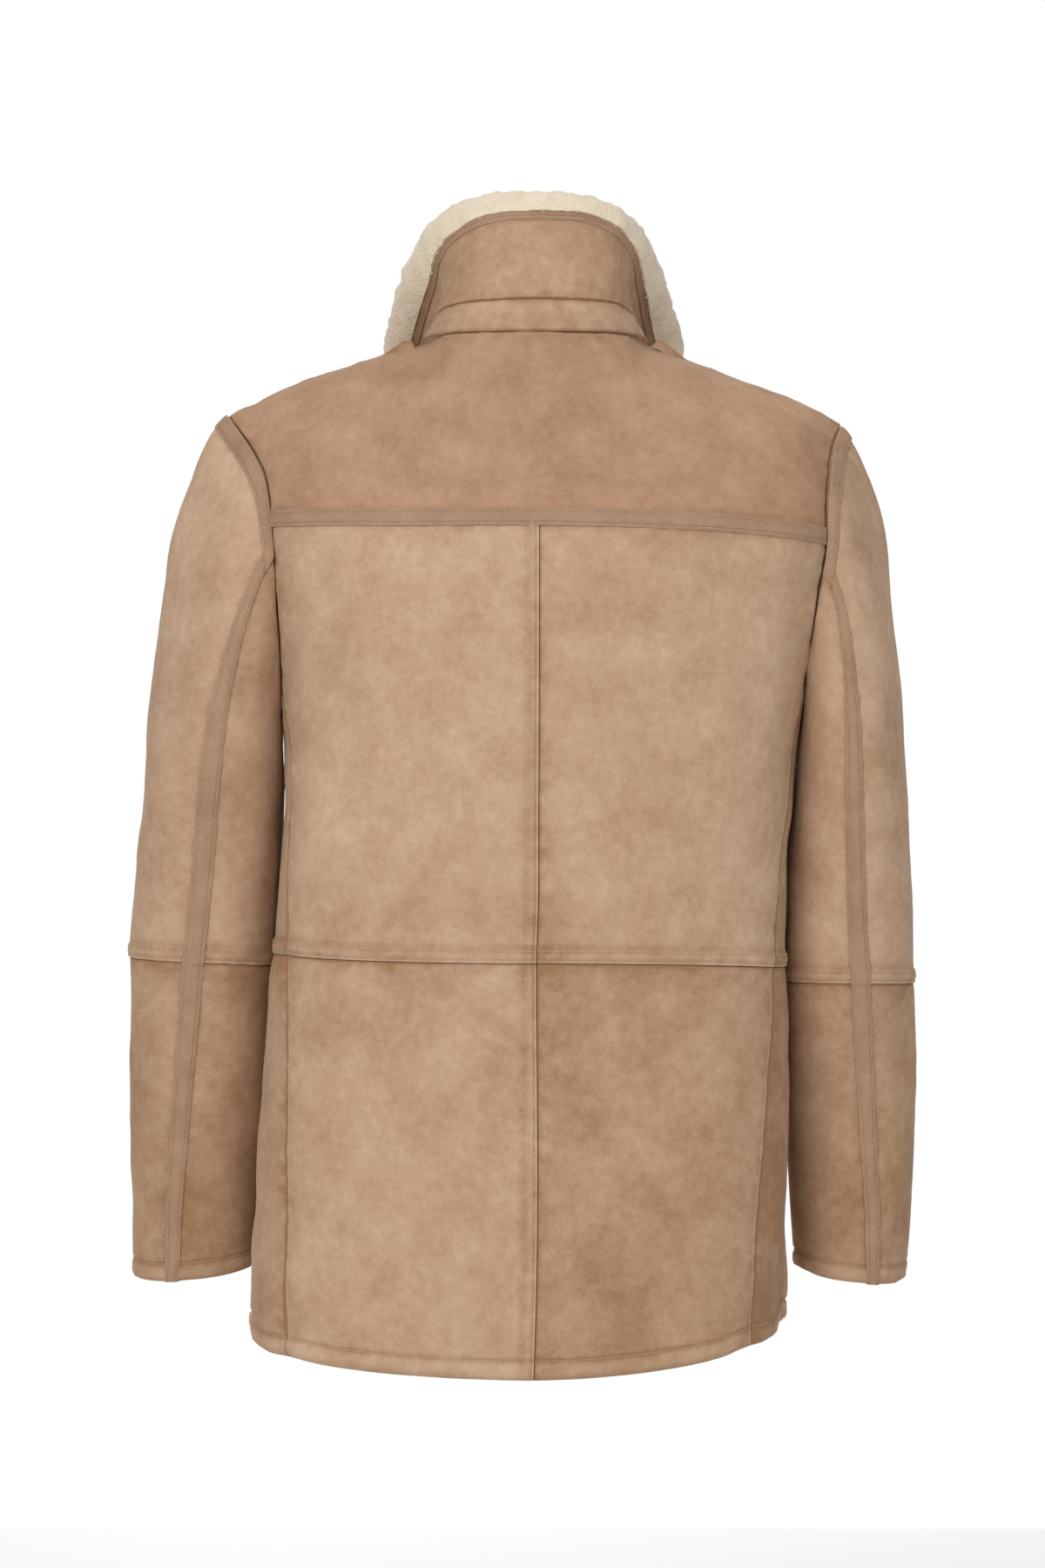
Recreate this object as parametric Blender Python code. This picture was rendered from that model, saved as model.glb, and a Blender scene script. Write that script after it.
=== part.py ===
"""A shearling coat, suede side out, filled out as if worn and empty inside.

Sizes are millimetres, turned into metres where a mesh is made. The coat faces -Y, its left is +X, and
Z is up. The origin is the middle of the neck, level with the centre of the shoulders' top.
Every sewn piece is a wall between an outer grid of points and the same grid moved in.
"""

import bpy
import numpy as np

MM = 0.001
WALL = 8.0  # hide and clipped wool together
SLEEVE_WALL = 7.0
COLLAR_WALL = 9.0
DIAGONAL_FROM = (0.31, 0.17, 1.0)  # a seam's faces are split from the end further this way
SEAM_INSET = 0.15  # each piece stops this short of a seam, so the gap is twice as wide
TAPE_LIFT = 0.3
TAPE_THICK = 1.2
TAPE_END = 1.3  # tapes stop this short of the fold where the sleeve meets the body
LAP_RAISE = 1.0  # how far a lapped seam's upper edge stands out
HEM_GROOVE = -1.3
HEM_SWELL = 0.8
HEM_ROLL = -1.4

ROUND_SIDE = 0.72  # how square the body's plan is, at the side and at the back
FLAT_BACK = 0.72
SHOULDER_POINT = 232.0
NECK_SIDE = 88.0
SHOULDER_DEPTH = -4.0
SHOULDER_PULL = 1.2  # how far the cloth stays level behind and before the shoulder seam
JOINT_NECK_SIDE = 84.0
FRONT_LAP = 22.0  # how far each front runs past the centre
LAP_LIFT = 9.6  # the left front clears the right one by this
LAP_FULL, LAP_NONE = 28.0, 75.0
VENT_TOP, VENT_LONG = -655.0, 90.0
VENT_OPEN = 1.2
VENT_FLARE_LEFT, VENT_FLARE_RIGHT = 1.5, 5.0
SLEEVE_CLEAR = 1.3
SLEEVE_SQUARE = 2.25  # exponent of the sleeve's section
TAPE_HALF = 7.0
EDGE_TAPE = 9.0
RIM_OUT, RIM_IN = 2.0, 15.0  # wool rim, proud of the suede and past it inside
BUTTON_RADIUS, BUTTON_THICK = 13.0, 3.6
BUTTON_HEIGHTS = (-160.0, -255.0, -350.0, -445.0, -540.0)
BUTTON_CLEAR = 0.3  # the cloth bows out this much between its points
BUTTON_CORNERS = 20
BUTTON_PROFILE = ((1.0, 0.0), (1.0, 0.6), (0.86, 1.0), (0.6, 0.78))  # shares of the radius and thickness

ROW_BEND = 1.5  # how late a row leaves the centre's height for the side's
FLANK_SHARE = 0.85  # the side seams' share of the step from the centre's height to the side's
ARMPIT_BEND = 2.2  # how flat the armhole runs under the arm
MITRE_LEAST = 0.62  # walls that meet more sharply than this aren't made longer
CLEAR_FROM = -265.0  # below this the sleeve is kept clear of the body
CLEAR_GROWTH = 0.3  # the clearance grows by this share of the way from the armhole
ARMHOLE_RISE, ARMHOLE_REACH = 0.55, 1.08  # how the seam's inner edge leans towards the armhole's rim


def table(columns, *rows):
    """Named columns of numbers; the first column is what the others are read along."""
    return dict(zip(columns.split(), np.array(rows, float).T))


# Half widths, depths and edge places of the body, from the hem up. An edge place is how far round
# from the side (0) to the centre line (1) the side-back and side-front seams or the armhole lie.
BODY = table(
    "height left right back front back_edge front_edge centre middle",
    (-790, 213.0, 184.5, 134.0, 140.0, 0.380, 0.300, 1.3, 10),
    (-700, 212.5, 187.0, 132.0, 138.0, 0.370, 0.290, -1.3, 13),
    (-600, 207.0, 190.5, 127.0, 134.0, 0.340, 0.270, -1.7, 15),
    (-540, 202.0, 192.0, 123.0, 132.0, 0.300, 0.250, -1.4, 15),
    (-475, 197.5, 190.3, 121.0, 131.0, 0.260, 0.230, -1.1, 14),
    (-430, 194.7, 190.3, 121.5, 131.0, 0.230, 0.210, -2.4, 12),
    (-380, 191.0, 191.6, 123.0, 132.0, 0.200, 0.190, -2.6, 8),
    (-330, 188.7, 197.5, 125.0, 134.0, 0.170, 0.165, -2.8, 3),
    (-290, 190.5, 202.0, 126.0, 135.0, 0.155, 0.155, -3.0, -1),
    (-266, 194.0, 207.0, 126.0, 135.0, 0.150, 0.150, -3.0, -3),
    (-238, 200.5, 215.5, 125.5, 134.0, 0.215, 0.220, -3.1, -4),
    (-205, 209.0, 227.5, 124.0, 131.0, 0.285, 0.290, -3.1, -5),
    (-168, 213.0, 236.0, 121.0, 126.0, 0.300, 0.290, -3.2, -5),
    (-141, 215.0, 237.0, 117.0, 120.0, 0.300, 0.275, -3.2, -5),
)

# The top line of the shoulders, outwards from the neck.
SHOULDER = table(
    "across left right",
    (88, -10.0, -10.0),
    (110, -15.5, -18.0),
    (140, -25.0, -30.0),
    (172, -36.0, -43.5),
    (200, -48.0, -55.0),
    (232, -63.0, -70.0),
)

# The collar, from the centre back (0) past the shoulder seam (0.5) to its front end (1): the neck seam,
# the roll that pulls the collar's middle in or out, and the edge where the suede ends.
COLLAR = table(
    "round neck_x neck_y neck_z roll_left roll_right roll_y roll_z"
    " edge_left edge_right edge_y edge_z stand rim_left rim_right",
    (0.00, 0, 75, -5, 0, 0, 72, 45, 0, 0, 58, 88, 25, 14.5, 14.5),
    (0.15, 37, 70, -5, 36, 38, 66, 44, 35, 38, 52, 86, 24, 16.5, 15.0),
    (0.30, 66, 52, -5, 57, 61, 46, 38, 62, 67, 36, 74, 22, 21.0, 16.0),
    (0.42, 82, 24, -7, 54, 60, 12, 28, 76, 79, 10, 53, 19, 21.0, 17.0),
    (0.50, 88, 0, -10, 57, 62, -6, 22, 83, 84, -8, 37, 17, 20.5, 18.0),
    (0.60, 87, -24, -24, 62, 64, -30, 8, 90, 90, -30, 19, 15, 19.5, 18.0),
    (0.70, 80, -46, -42, 66, 66, -52, -8, 96, 94, -54, 2, 14, 18.0, 18.0),
    (0.85, 57, -76, -70, 62, 62, -90, -38, 101, 100, -90, -22, 12, 17.0, 17.0),
    (1.00, 28, -99, -92, 46, 46, -113, -78, 90, 90, -126, -58, 10, 14.0, 14.0),
)

# The sleeves, from the cuff up: their inner and outer sides, the middle's depth, half the depth, and how
# far the seams are turned towards the outside.
SLEEVE = table(
    "height inner_left outer_left inner_right outer_right middle half_depth twist",
    (-725, 212.5, 306.5, 200.5, 285.0, -58, 48, 18),
    (-660, 207.5, 308.5, 195.0, 288.5, -51, 50, 15),
    (-600, 203.0, 309.5, 191.5, 290.0, -43, 53, 11),
    (-540, 199.0, 309.0, 190.0, 290.5, -35, 57, 8),
    (-470, 195.0, 307.0, 189.0, 289.5, -27, 61, 5),
    (-400, 191.0, 302.0, 192.0, 285.5, -19, 66, 2),
    (-340, 190.5, 296.5, 196.5, 281.5, -12, 70, 0),
)

# Rows of the body from the neck and shoulders to the waist: heights at the centre line and at the armhole
# or side panel's edge, with the yoke tape on rows 4 to 6 and the sleeve's back seam on row 8.
UPPER_ROWS = table(
    "row centre_back centre_front edge_left edge_right",
    (4, -138.5, -140, -137.5, -151.0),
    (5, -145.3, -148, -144.0, -157.5),
    (6, -152.0, -156, -150.5, -164.0),
    (7, -162.0, -165, -158.0, -171.0),
    (8, -174.0, -176, -165.5, -178.0),
    (9, -187.0, -189, -173.0, -185.0),
    (10, -213.0, -215, -205.0, -212.0),
    (11, -241.0, -243, -238.0, -240.0),
    (12, -272.0, -272, -266.0, -266.0),
)
TOP_ROWS = 4  # rows above the yoke tape, spread evenly up to the shoulder and neck
YOKE_ROW, BACK_LAP_ROW = 5, 7
ARMPIT_ROW, WAIST_ROW, CORNER_ROW, HEM_ROW = 12, 19, 24, 27
HEM_CELLS = 3  # rows of the turned hem, also at the cuffs
JOINT_STEP = 6.0  # the cloth's direction at the yoke line is read over this height
UNDERARM = -290.0

# Rows from under the arm to the hem: heights at the centre back, centre front and the sides.
LOWER_ROWS = table(
    "row centre_back centre_front side_left side_right",
    (13, -312.0, -312, -315.0, -315.0),
    (14, -352.0, -352, -354.0, -354.0),
    (15, -392.0, -392, -392.0, -394.0),
    (16, -430.0, -430, -427.0, -434.0),
    (17, -464.5, -464, -458.5, -469.0),
    (18, -466.0, -466, -460.0, -471.0),
    (19, -475.0, -475, -469.5, -480.0),
    (20, -532.0, -531, -526.0, -533.0),
    (21, -592.0, -590, -585.0, -589.0),
    (22, -652.0, -648, -642.0, -642.0),
    (23, -707.0, -700, -692.0, -690.0),
    (24, -747.0, -737, -728.0, -724.0),
    (25, -767.0, -757, -742.0, -734.0),
    (26, -775.0, -765, -748.0, -740.0),
    (27, -781.5, -771, -755.0, -746.0),
)
HEM_SIDE_DROP = 9.0  # the hem falls this far from the vent's corner to the next column

# Places of the columns across the yoke line, from the neck's side to the centre.
BACK_LEFT_STEPS = (84, 64, 44, 24, 7.5, 6.3, -3.2)
BACK_RIGHT_STEPS = (84, 70, 56, 42, 28, 13, 3.2)
FRONT_STEPS = (84, 75, 66, 57, 47, 37, 27)
SHOULDER_CELLS = 5
SIDE_CELLS = 3
SHOULDER_PLACE = 0.5  # the shoulder seam's place round the collar
NECK_TURN = 0.25  # the columns turn from over the shoulder to down the neck within this place
STAND_ROW, EDGE_TAPE_ROW, COLLAR_ROWS = 2, 5, 7
RIM_POINTS = 8

# Columns, counted from the left front's edge round the back to the right front's edge.
COLLAR_END, NECK_FRONT, FRONT_EDGE, SIDE, BACK_EDGE, NECK_BACK, CENTRE = 2, 8, 13, 16, 19, 24, 30
LAST = 60

# Angles round the sleeve of the points of the armhole: down its back edge, under the arm, up its front.
SLEEVE_ANGLES = (
    *(0, 13, 26, 39, 51, 61, 71, 81.5, 90, 98.5, 118, 138, 153),
    *(162, 171, 180, 189, 198, 207),
    *(222, 240, 256, 268, 278, 288, 298, 308, 320, 333, 346),
)
BACK_SEAM, FRONT_SEAM = 8, 20
ARMHOLE_TAPE_FROM, ARMHOLE_TAPE_TO = 21, 9
CAP_CELLS = 4
BICEPS = -340.0

# Rows of the sleeve below the biceps: heights at the outer and inner side, as two for each sleeve.
ELBOW_ROW, CUFF_ROW = 11, 17
SLEEVE_ROWS = table(
    "row left_outer left_inner right_outer right_inner",
    (7, -384, -386, -390, -388),
    (8, -428, -432, -442, -438),
    (9, -464.5, -470.5, -484.5, -482.5),
    (10, -466.0, -472.0, -486.0, -484.0),
    (11, -474.0, -480.0, -494.0, -492.0),
    (12, -535, -540, -548, -546),
    (13, -592, -595, -602, -600),
    (14, -648, -648, -652, -650),
    (15, -701.5, -696.5, -703.5, -698.5),
    (16, -709.5, -704.5, -711.5, -706.5),
    (17, -716.5, -711.0, -719.5, -713.0),
)
CUFF_BACK_DROP = 7.0

# Directions in which the body's columns leave the top, for the left half and the back.
EDGE_LEAVES = (-0.3, 0.85, -0.5)
SHOULDER_LEAVES = (0, 1, -0.08)
NECK_LEAVES = dict(back=(0, 0.5, -0.87), front=(0, 0.4, -0.92))

# Directions in which the cap leaves the armhole, for the left sleeve.
CAP_STARTS = dict(
    top_left=(0.84, 0, -0.54),
    top_right=(0.74, 0, -0.67),
    back=(0.56, 0.25, -0.8),
    under=(0.06, 0, -1),
    front=(0.5, -0.3, -0.8),
)
CAP_START_PULL, CAP_END_PULL = 0.6, 1.05


def unit(vectors):
    length = np.linalg.norm(vectors, axis=-1, keepdims=True)
    return vectors / np.where(length > 0, length, 1)


def smooth(amount):
    amount = np.clip(amount, 0, 1)
    return amount * amount * (3 - 2 * amount)


def between(start, end, amount):
    return start + (end - start) * amount


def hermite(start, start_pull, end, end_pull, at):
    """The cubic from start to end with these pulls."""
    square, cube = at * at, at * at * at
    return (
        start * (2 * cube - 3 * square + 1)
        + start_pull * (cube - 2 * square + at)
        + end * (3 * square - 2 * cube)
        + end_pull * (cube - square)
    )


def along(rows, name, at):
    """The named column of a table, read smoothly at a value of the table's first column."""
    knots, values = rows[next(iter(rows))], rows[name]
    slopes = np.gradient(values, knots)
    at = np.clip(at, knots[0], knots[-1])
    low = np.clip(np.searchsorted(knots, at, side="right") - 1, 0, len(knots) - 2)
    width = knots[low + 1] - knots[low]
    return hermite(
        values[low], slopes[low] * width, values[low + 1], slopes[low + 1] * width, (at - knots[low]) / width
    )


def named(side, left, right):
    return left if side > 0 else right


def body_point(side, half, place, height):
    """A point of the body's surface. place is 0 at the side, 1 at the centre and over 1 past it; half is 1
    at the back and -1 at the front."""
    past = place > 1
    place = 2 - place if past else place
    side = -side if past else side
    width = along(BODY, named(side, "left", "right"), height)
    depth = along(BODY, named(half, "back", "front"), height)
    shift = along(BODY, "centre", height) if half > 0 else 0.0
    middle = along(BODY, "middle", height)
    rest = 1 - place
    near = rest**3 + 3 * place * rest**2
    far = 3 * place**2 * rest
    x = side * width * (near + FLAT_BACK * far) + shift * (far + place**3)
    y = middle + (half * depth - middle) * (3 * ROUND_SIDE * place * rest**2 + far + place**3)
    return np.array([x, y, height])


def edge_place(half, height):
    return along(BODY, named(half, "back_edge", "front_edge"), height)


def place_across(side, half, across, height):
    """The place whose point lies this far from the middle, measured towards the side."""
    places = np.linspace(0.05, 1, 96)
    widths = np.array([body_point(side, half, place, height)[0] * side for place in places])
    return np.interp(-across, -widths, places)


def column_shares(side, half, steps, height):
    """How far each column lies between the armhole's edge (0) and the centre (1)."""
    edge = edge_place(half, height)
    outside = body_point(side, half, edge, height)[0] * side
    shoulder = np.linspace(outside, JOINT_NECK_SIDE, SHOULDER_CELLS + 1)[:-1]
    places = [place_across(side, half, across, height) for across in (*shoulder, *steps)]
    return (np.array(places) - edge) / (1 - edge)


def neck_point(side, half, across):
    """A point of the neck seam: across runs from NECK_SIDE to the centre."""
    rounds = np.linspace(0, 0.5, 60) if half > 0 else np.linspace(0.5, 1, 60)
    widths = along(COLLAR, "neck_x", rounds)
    order = np.argsort(widths)
    at = float(np.interp(across, widths[order], rounds[order]))
    return np.array([side * across, along(COLLAR, "neck_y", at), along(COLLAR, "neck_z", at)]), at


def top_point(side, half, column, steps):
    """A column's start, on the shoulder seam or on the neck seam, and its place round the collar."""
    if column < SHOULDER_CELLS:
        across = between(SHOULDER_POINT, NECK_SIDE, column / SHOULDER_CELLS)
        height = along(SHOULDER, named(side, "left", "right"), across)
        depth = SHOULDER_DEPTH * (across - NECK_SIDE) / SHOULDER_POINT
        return np.array([side * across, depth, height]), SHOULDER_PLACE
    across = steps[column - SHOULDER_CELLS] * NECK_SIDE / JOINT_NECK_SIDE
    return neck_point(side, half, across)


def top_pull(side, half, column, collar_place):
    """The direction and strength with which a column leaves the shoulder or neck seam."""
    mirror = np.array([side, half, 1])
    if column == 0:
        return unit(np.array(EDGE_LEAVES) * mirror)
    over_shoulder = np.array(SHOULDER_LEAVES) * mirror
    if column <= SHOULDER_CELLS:
        return unit(over_shoulder) * between(1, SHOULDER_PULL, column / SHOULDER_CELLS)
    down_neck = np.array(NECK_LEAVES[named(half, "back", "front")]) * mirror
    turned = smooth(abs(collar_place - SHOULDER_PLACE) / NECK_TURN)
    return unit(between(over_shoulder, down_neck, turned))


def hem_drop(row):
    """How far a row lies below the straight line to the vent's corner, away from that corner."""
    return HEM_SIDE_DROP * smooth((row - CORNER_ROW) / (HEM_ROW - CORNER_ROW))


def body_columns(side, half, steps):
    """The rows of one quarter, from its armhole's edge to the centre, and each column's collar place."""
    centre_name = named(half, "centre_back", "centre_front")
    shares = column_shares(side, half, steps, UPPER_ROWS[centre_name][0])
    grid = np.full((HEM_ROW + 1, len(shares), 3), np.nan)
    collar_places = []
    for column, share in enumerate(shares):
        from_centre = abs(1 - share) ** ROW_BEND
        for i, row in enumerate(UPPER_ROWS["row"].astype(int)):
            middle = UPPER_ROWS[centre_name][i]
            edge = UPPER_ROWS[named(side, "edge_left", "edge_right")][i]
            grid[row, column] = quarter_point(side, half, share, between(middle, edge, from_centre))
        for i, row in enumerate(LOWER_ROWS["row"].astype(int)):
            middle = LOWER_ROWS[centre_name][i]
            side_height = LOWER_ROWS[named(side, "side_left", "side_right")][i]
            flank = between(middle, side_height, FLANK_SHARE) - hem_drop(row)
            grid[row, column] = quarter_point(side, half, share, between(middle, flank, from_centre))
        start, collar_place = top_point(side, half, min(column, SHOULDER_CELLS + len(steps) - 1), steps)
        collar_places.append(collar_place)
        joint = grid[TOP_ROWS, column]
        length = np.linalg.norm(joint - start)
        below = quarter_point(side, half, share, joint[2] - JOINT_STEP)
        pull = unit(below - joint) * length
        leave = top_pull(side, half, column, collar_place) * length
        for row in range(TOP_ROWS):
            grid[row, column] = hermite(start, leave, joint, pull, row / TOP_ROWS)
    return grid, collar_places


def quarter_point(side, half, share, height):
    edge = edge_place(half, height)
    return body_point(side, half, edge + (1 - edge) * share, height)


def side_columns(side, half):
    """The columns of the side panel between the seam's column and the side line, that one left out."""
    grid = np.full((HEM_ROW + 1, SIDE_CELLS, 3), np.nan)
    for column in range(SIDE_CELLS):
        share = column / SIDE_CELLS  # 0 on the side line
        edge_height = UPPER_ROWS[named(side, "edge_left", "edge_right")][-1]
        height = between(UNDERARM, edge_height, share**ARMPIT_BEND)
        grid[ARMPIT_ROW, column] = body_point(side, half, edge_place(half, height) * share, height)
        for i, row in enumerate(LOWER_ROWS["row"].astype(int)):
            flank = LOWER_ROWS[named(side, "side_left", "side_right")][i]
            middle = LOWER_ROWS[named(half, "centre_back", "centre_front")][i]
            height = between(flank, between(middle, flank, FLANK_SHARE), share)
            height -= hem_drop(row) * min(1, share * 2)
            grid[row, column] = body_point(side, half, edge_place(half, height) * share, height)
    return grid


def front_quarter(side):
    """A front quarter with its lap past the centre. The left one is raised to lie over the right one."""
    grid, places = body_columns(side, -1, FRONT_STEPS)
    lap = []
    for across in (0.0, -FRONT_LAP):
        column = np.full((HEM_ROW + 1, 3), np.nan)
        for row in range(HEM_ROW + 1):
            inner = grid[row, -1]
            column[row] = (side * across, inner[1], inner[2])
            if row >= TOP_ROWS:
                column[row, 1] = -along(BODY, "front", inner[2])
        lap.append(column)
    grid = np.concatenate([grid, np.stack(lap, axis=1)], axis=1)
    if side > 0:
        raised = smooth((LAP_NONE - grid[..., 0]) / (LAP_NONE - LAP_FULL))
        grid[..., 1] -= LAP_LIFT * raised
    return grid, places


def body_grid():
    """All the body's points, from the left front's edge round the back to the right front's edge."""
    halves = []
    rounds = []
    for side, steps in ((1, BACK_LEFT_STEPS), (-1, BACK_RIGHT_STEPS)):
        front, front_places = front_quarter(side)
        back, back_places = body_columns(side, 1, steps)
        sides = np.concatenate([side_columns(side, -1)[:, ::-1], side_columns(side, 1)[:, 1:]], axis=1)
        halves.append(np.concatenate([front[:, ::-1], sides, back], axis=1))
        rounds.append((front_places[::-1], back_places))
    grid = np.concatenate([halves[0], halves[1][:, -2::-1]], axis=1)
    return grid, rounds


def steps_along(grid, axis, closed=False):
    """The mean direction of the steps to a point's neighbours, along one axis of the grid."""
    lines = np.moveaxis(grid, axis, 0)
    ahead = np.nan_to_num(unit(np.diff(lines, axis=0)))
    total = np.zeros_like(lines)
    total[:-1] += ahead
    total[1:] += ahead
    if closed:
        across = unit(lines[0] - lines[-1])
        total[0] += across
        total[-1] += across
    return np.moveaxis(total, 0, axis)


def grid_normals(grid, closed=False):
    return unit(np.cross(steps_along(grid, 0), steps_along(grid, 1, closed)))


def mitre(point, wall, *normals):
    """The inner point where walls with these normals meet."""
    mean = unit(np.sum(normals, axis=0))
    lean = np.mean([np.dot(mean, normal) for normal in normals])
    return point - mean * wall / max(lean, MITRE_LEAST)


def station(side, height, angle):
    """A point round the sleeve: 0 degrees is its outer side and 90 its back."""
    inner = along(SLEEVE, named(side, "inner_left", "inner_right"), height)
    outer = along(SLEEVE, named(side, "outer_left", "outer_right"), height)
    turned = np.radians(angle - along(SLEEVE, "twist", height))
    power = 2 / SLEEVE_SQUARE
    out, back = np.cos(turned), np.sin(turned)
    x = (inner + outer) / 2 + (outer - inner) / 2 * np.sign(out) * abs(out) ** power
    y = along(SLEEVE, "half_depth", height) * np.sign(back) * abs(back) ** power
    y += along(SLEEVE, "middle", height)
    return np.array([side * x, y, height])


def cap_start(side, angle):
    """The direction in which the sleeve leaves the armhole at this angle."""
    out, back = np.cos(np.radians(angle)), np.sin(np.radians(angle))
    top = named(side, "top_left", "top_right")
    ends = (CAP_STARTS[top if out > 0 else "under"], CAP_STARTS["back" if back > 0 else "front"])
    mixed = np.array(ends[0]) * out**2 + np.array(ends[1]) * back**2
    return unit(mixed * np.array([side, 1, 1]))


def clear_of_body(side, point, from_seam):
    """The point, moved out of the body's side where it would come too close to it."""
    if point[2] > CLEAR_FROM:
        return point
    depths, widths = [], []
    for half in (-1, 1):
        for place in np.linspace(0, 0.9, 19):
            at = body_point(side, half, place, point[2])
            depths.append(at[1])
            widths.append(at[0] * side)
    order = np.argsort(depths)
    least = np.interp(point[1], np.array(depths)[order], np.array(widths)[order])
    least += min(SLEEVE_CLEAR, CLEAR_GROWTH * from_seam)
    point[0] = side * max(point[0] * side, least)
    return point


def sleeve_row_height(side, row, angle):
    i = list(SLEEVE_ROWS["row"]).index(row)
    word = named(side, "left", "right")
    inner_share = (1 - np.cos(np.radians(angle))) / 2
    height = between(SLEEVE_ROWS[word + "_outer"][i], SLEEVE_ROWS[word + "_inner"][i], inner_share)
    return height - CUFF_BACK_DROP * max(0, np.sin(np.radians(angle))) * smooth((row - ELBOW_ROW) / 5)


def sleeve_grid(side, armhole):
    """Rows from the armhole to the cuff, with the armhole tape's edges on rows 0 and 2."""
    grid = np.zeros((CUFF_ROW + 1, len(armhole), 3))
    fine = np.linspace(0, 1, 60)[:, None]
    for column, (start, angle) in enumerate(zip(armhole, SLEEVE_ANGLES)):
        end = station(side, BICEPS, angle)
        length = np.linalg.norm(end - start)
        leave = cap_start(side, angle) * length * CAP_START_PULL
        arrive = unit(station(side, BICEPS - 8, angle) - end) * length * CAP_END_PULL
        curve = hermite(start, leave, end, arrive, fine)
        run = np.concatenate([[0], np.cumsum(np.linalg.norm(np.diff(curve, axis=0), axis=1))])
        wanted = [0, TAPE_HALF, *np.linspace(2 * TAPE_HALF, run[-1], CAP_CELLS + 1)]
        for row, distance in enumerate(wanted):
            point = np.array([np.interp(distance, run, curve[:, i]) for i in range(3)])
            grid[row, column] = clear_of_body(side, point, distance)
        for row in range(len(wanted), CUFF_ROW + 1):
            point = station(side, sleeve_row_height(side, row, angle), angle)
            grid[row, column] = clear_of_body(side, point, run[-1])
    return grid


def armhole_cells(side):
    """(row, column) in the body's grid of each point of the armhole."""
    back = BACK_EDGE if side > 0 else LAST - BACK_EDGE
    front = FRONT_EDGE if side > 0 else LAST - FRONT_EDGE
    step = -1 if side > 0 else 1
    down = [(row, back) for row in range(ARMPIT_ROW + 1)]
    under = [(ARMPIT_ROW, column) for column in range(back + step, front + step, step)]
    up = [(row, front) for row in range(ARMPIT_ROW - 1, 0, -1)]
    return down + under + up


def armhole_inner(point, centre, normals):
    """The inner point of the armhole seam. Under the arm the two walls lie back to back, and it goes up."""
    around = unit(np.array([0, *(point - centre)[1:]]))
    together = np.sum(normals, axis=0)
    return point - unit(together + ARMHOLE_RISE * around) * WALL * ARMHOLE_REACH


def collar_grid(base, places):
    """Rows from the neck seam up to the suede's edge, over the given neck points."""
    grid = np.zeros((COLLAR_ROWS, len(base), 3))
    fine = np.linspace(0, 1, 50)[:, None]
    for column, (start, place) in enumerate(zip(base, places)):
        side = 1 if start[0] > 0 else -1
        word = named(side, "left", "right")
        shift = start[0] if place == 0 else 0.0  # the centre back lies a little to one side
        read = {name: along(COLLAR, name, place) for name in COLLAR}
        roll = np.array([side * read["roll_" + word] + shift, read["roll_y"], read["roll_z"]])
        edge = np.array([side * read["edge_" + word] + shift, read["edge_y"], read["edge_z"]])
        curve = start * (1 - fine) ** 2 + roll * 2 * fine * (1 - fine) + edge * fine**2
        run = np.concatenate([[0], np.cumsum(np.linalg.norm(np.diff(curve, axis=0), axis=1))])
        fall_end = run[-1] - EDGE_TAPE
        wanted = (0, read["stand"] / 2, *np.linspace(read["stand"], fall_end, 4), run[-1])
        for row, distance in enumerate(wanted):
            grid[row, column] = [np.interp(distance, run, curve[:, i]) for i in range(3)]
    return grid


def trimmed(grid, **edges):
    """The grid drawn in at the named edges: top, bottom, left, right."""
    grid = grid.copy()
    for name, amount in edges.items():
        lines = grid if name in ("top", "bottom") else np.moveaxis(grid, 1, 0)
        lines = lines if name in ("top", "left") else lines[::-1]
        lines[0] += unit(lines[1] - lines[0]) * np.reshape(amount, (-1, 1))
    return grid


def make_material(name, colour, roughness):
    material = bpy.data.materials.get(name) or bpy.data.materials.new(name)
    material.use_nodes = True
    shader = material.node_tree.nodes["Principled BSDF"]
    shader.inputs["Base Color"].default_value = (*colour, 1)
    shader.inputs["Roughness"].default_value = roughness
    shader.inputs["Metallic"].default_value = 0.0
    material.diffuse_color = (*colour, 1)
    return material


SUEDE = ("suede", (0.47, 0.33, 0.22), 0.95)
YOKE_SUEDE = ("yoke_suede", (0.42, 0.28, 0.18), 0.95)
LEATHER = ("tape_leather", (0.37, 0.24, 0.15), 0.6)
WOOL = ("wool", (0.68, 0.59, 0.47), 1.0)
HORN = ("button_horn", (0.12, 0.07, 0.04), 0.35)


def add_object(name, points, faces, finish):
    mesh = bpy.data.meshes.new(name)
    mesh.from_pydata((np.asarray(points) * MM).tolist(), [], faces)
    mesh.validate()
    mesh.materials.append(make_material(*finish))
    mesh.shade_smooth()
    mesh.set_sharp_from_angle(angle=np.radians(40))
    piece = bpy.data.objects.new(name, mesh)
    bpy.context.scene.collection.objects.link(piece)
    return piece


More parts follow.
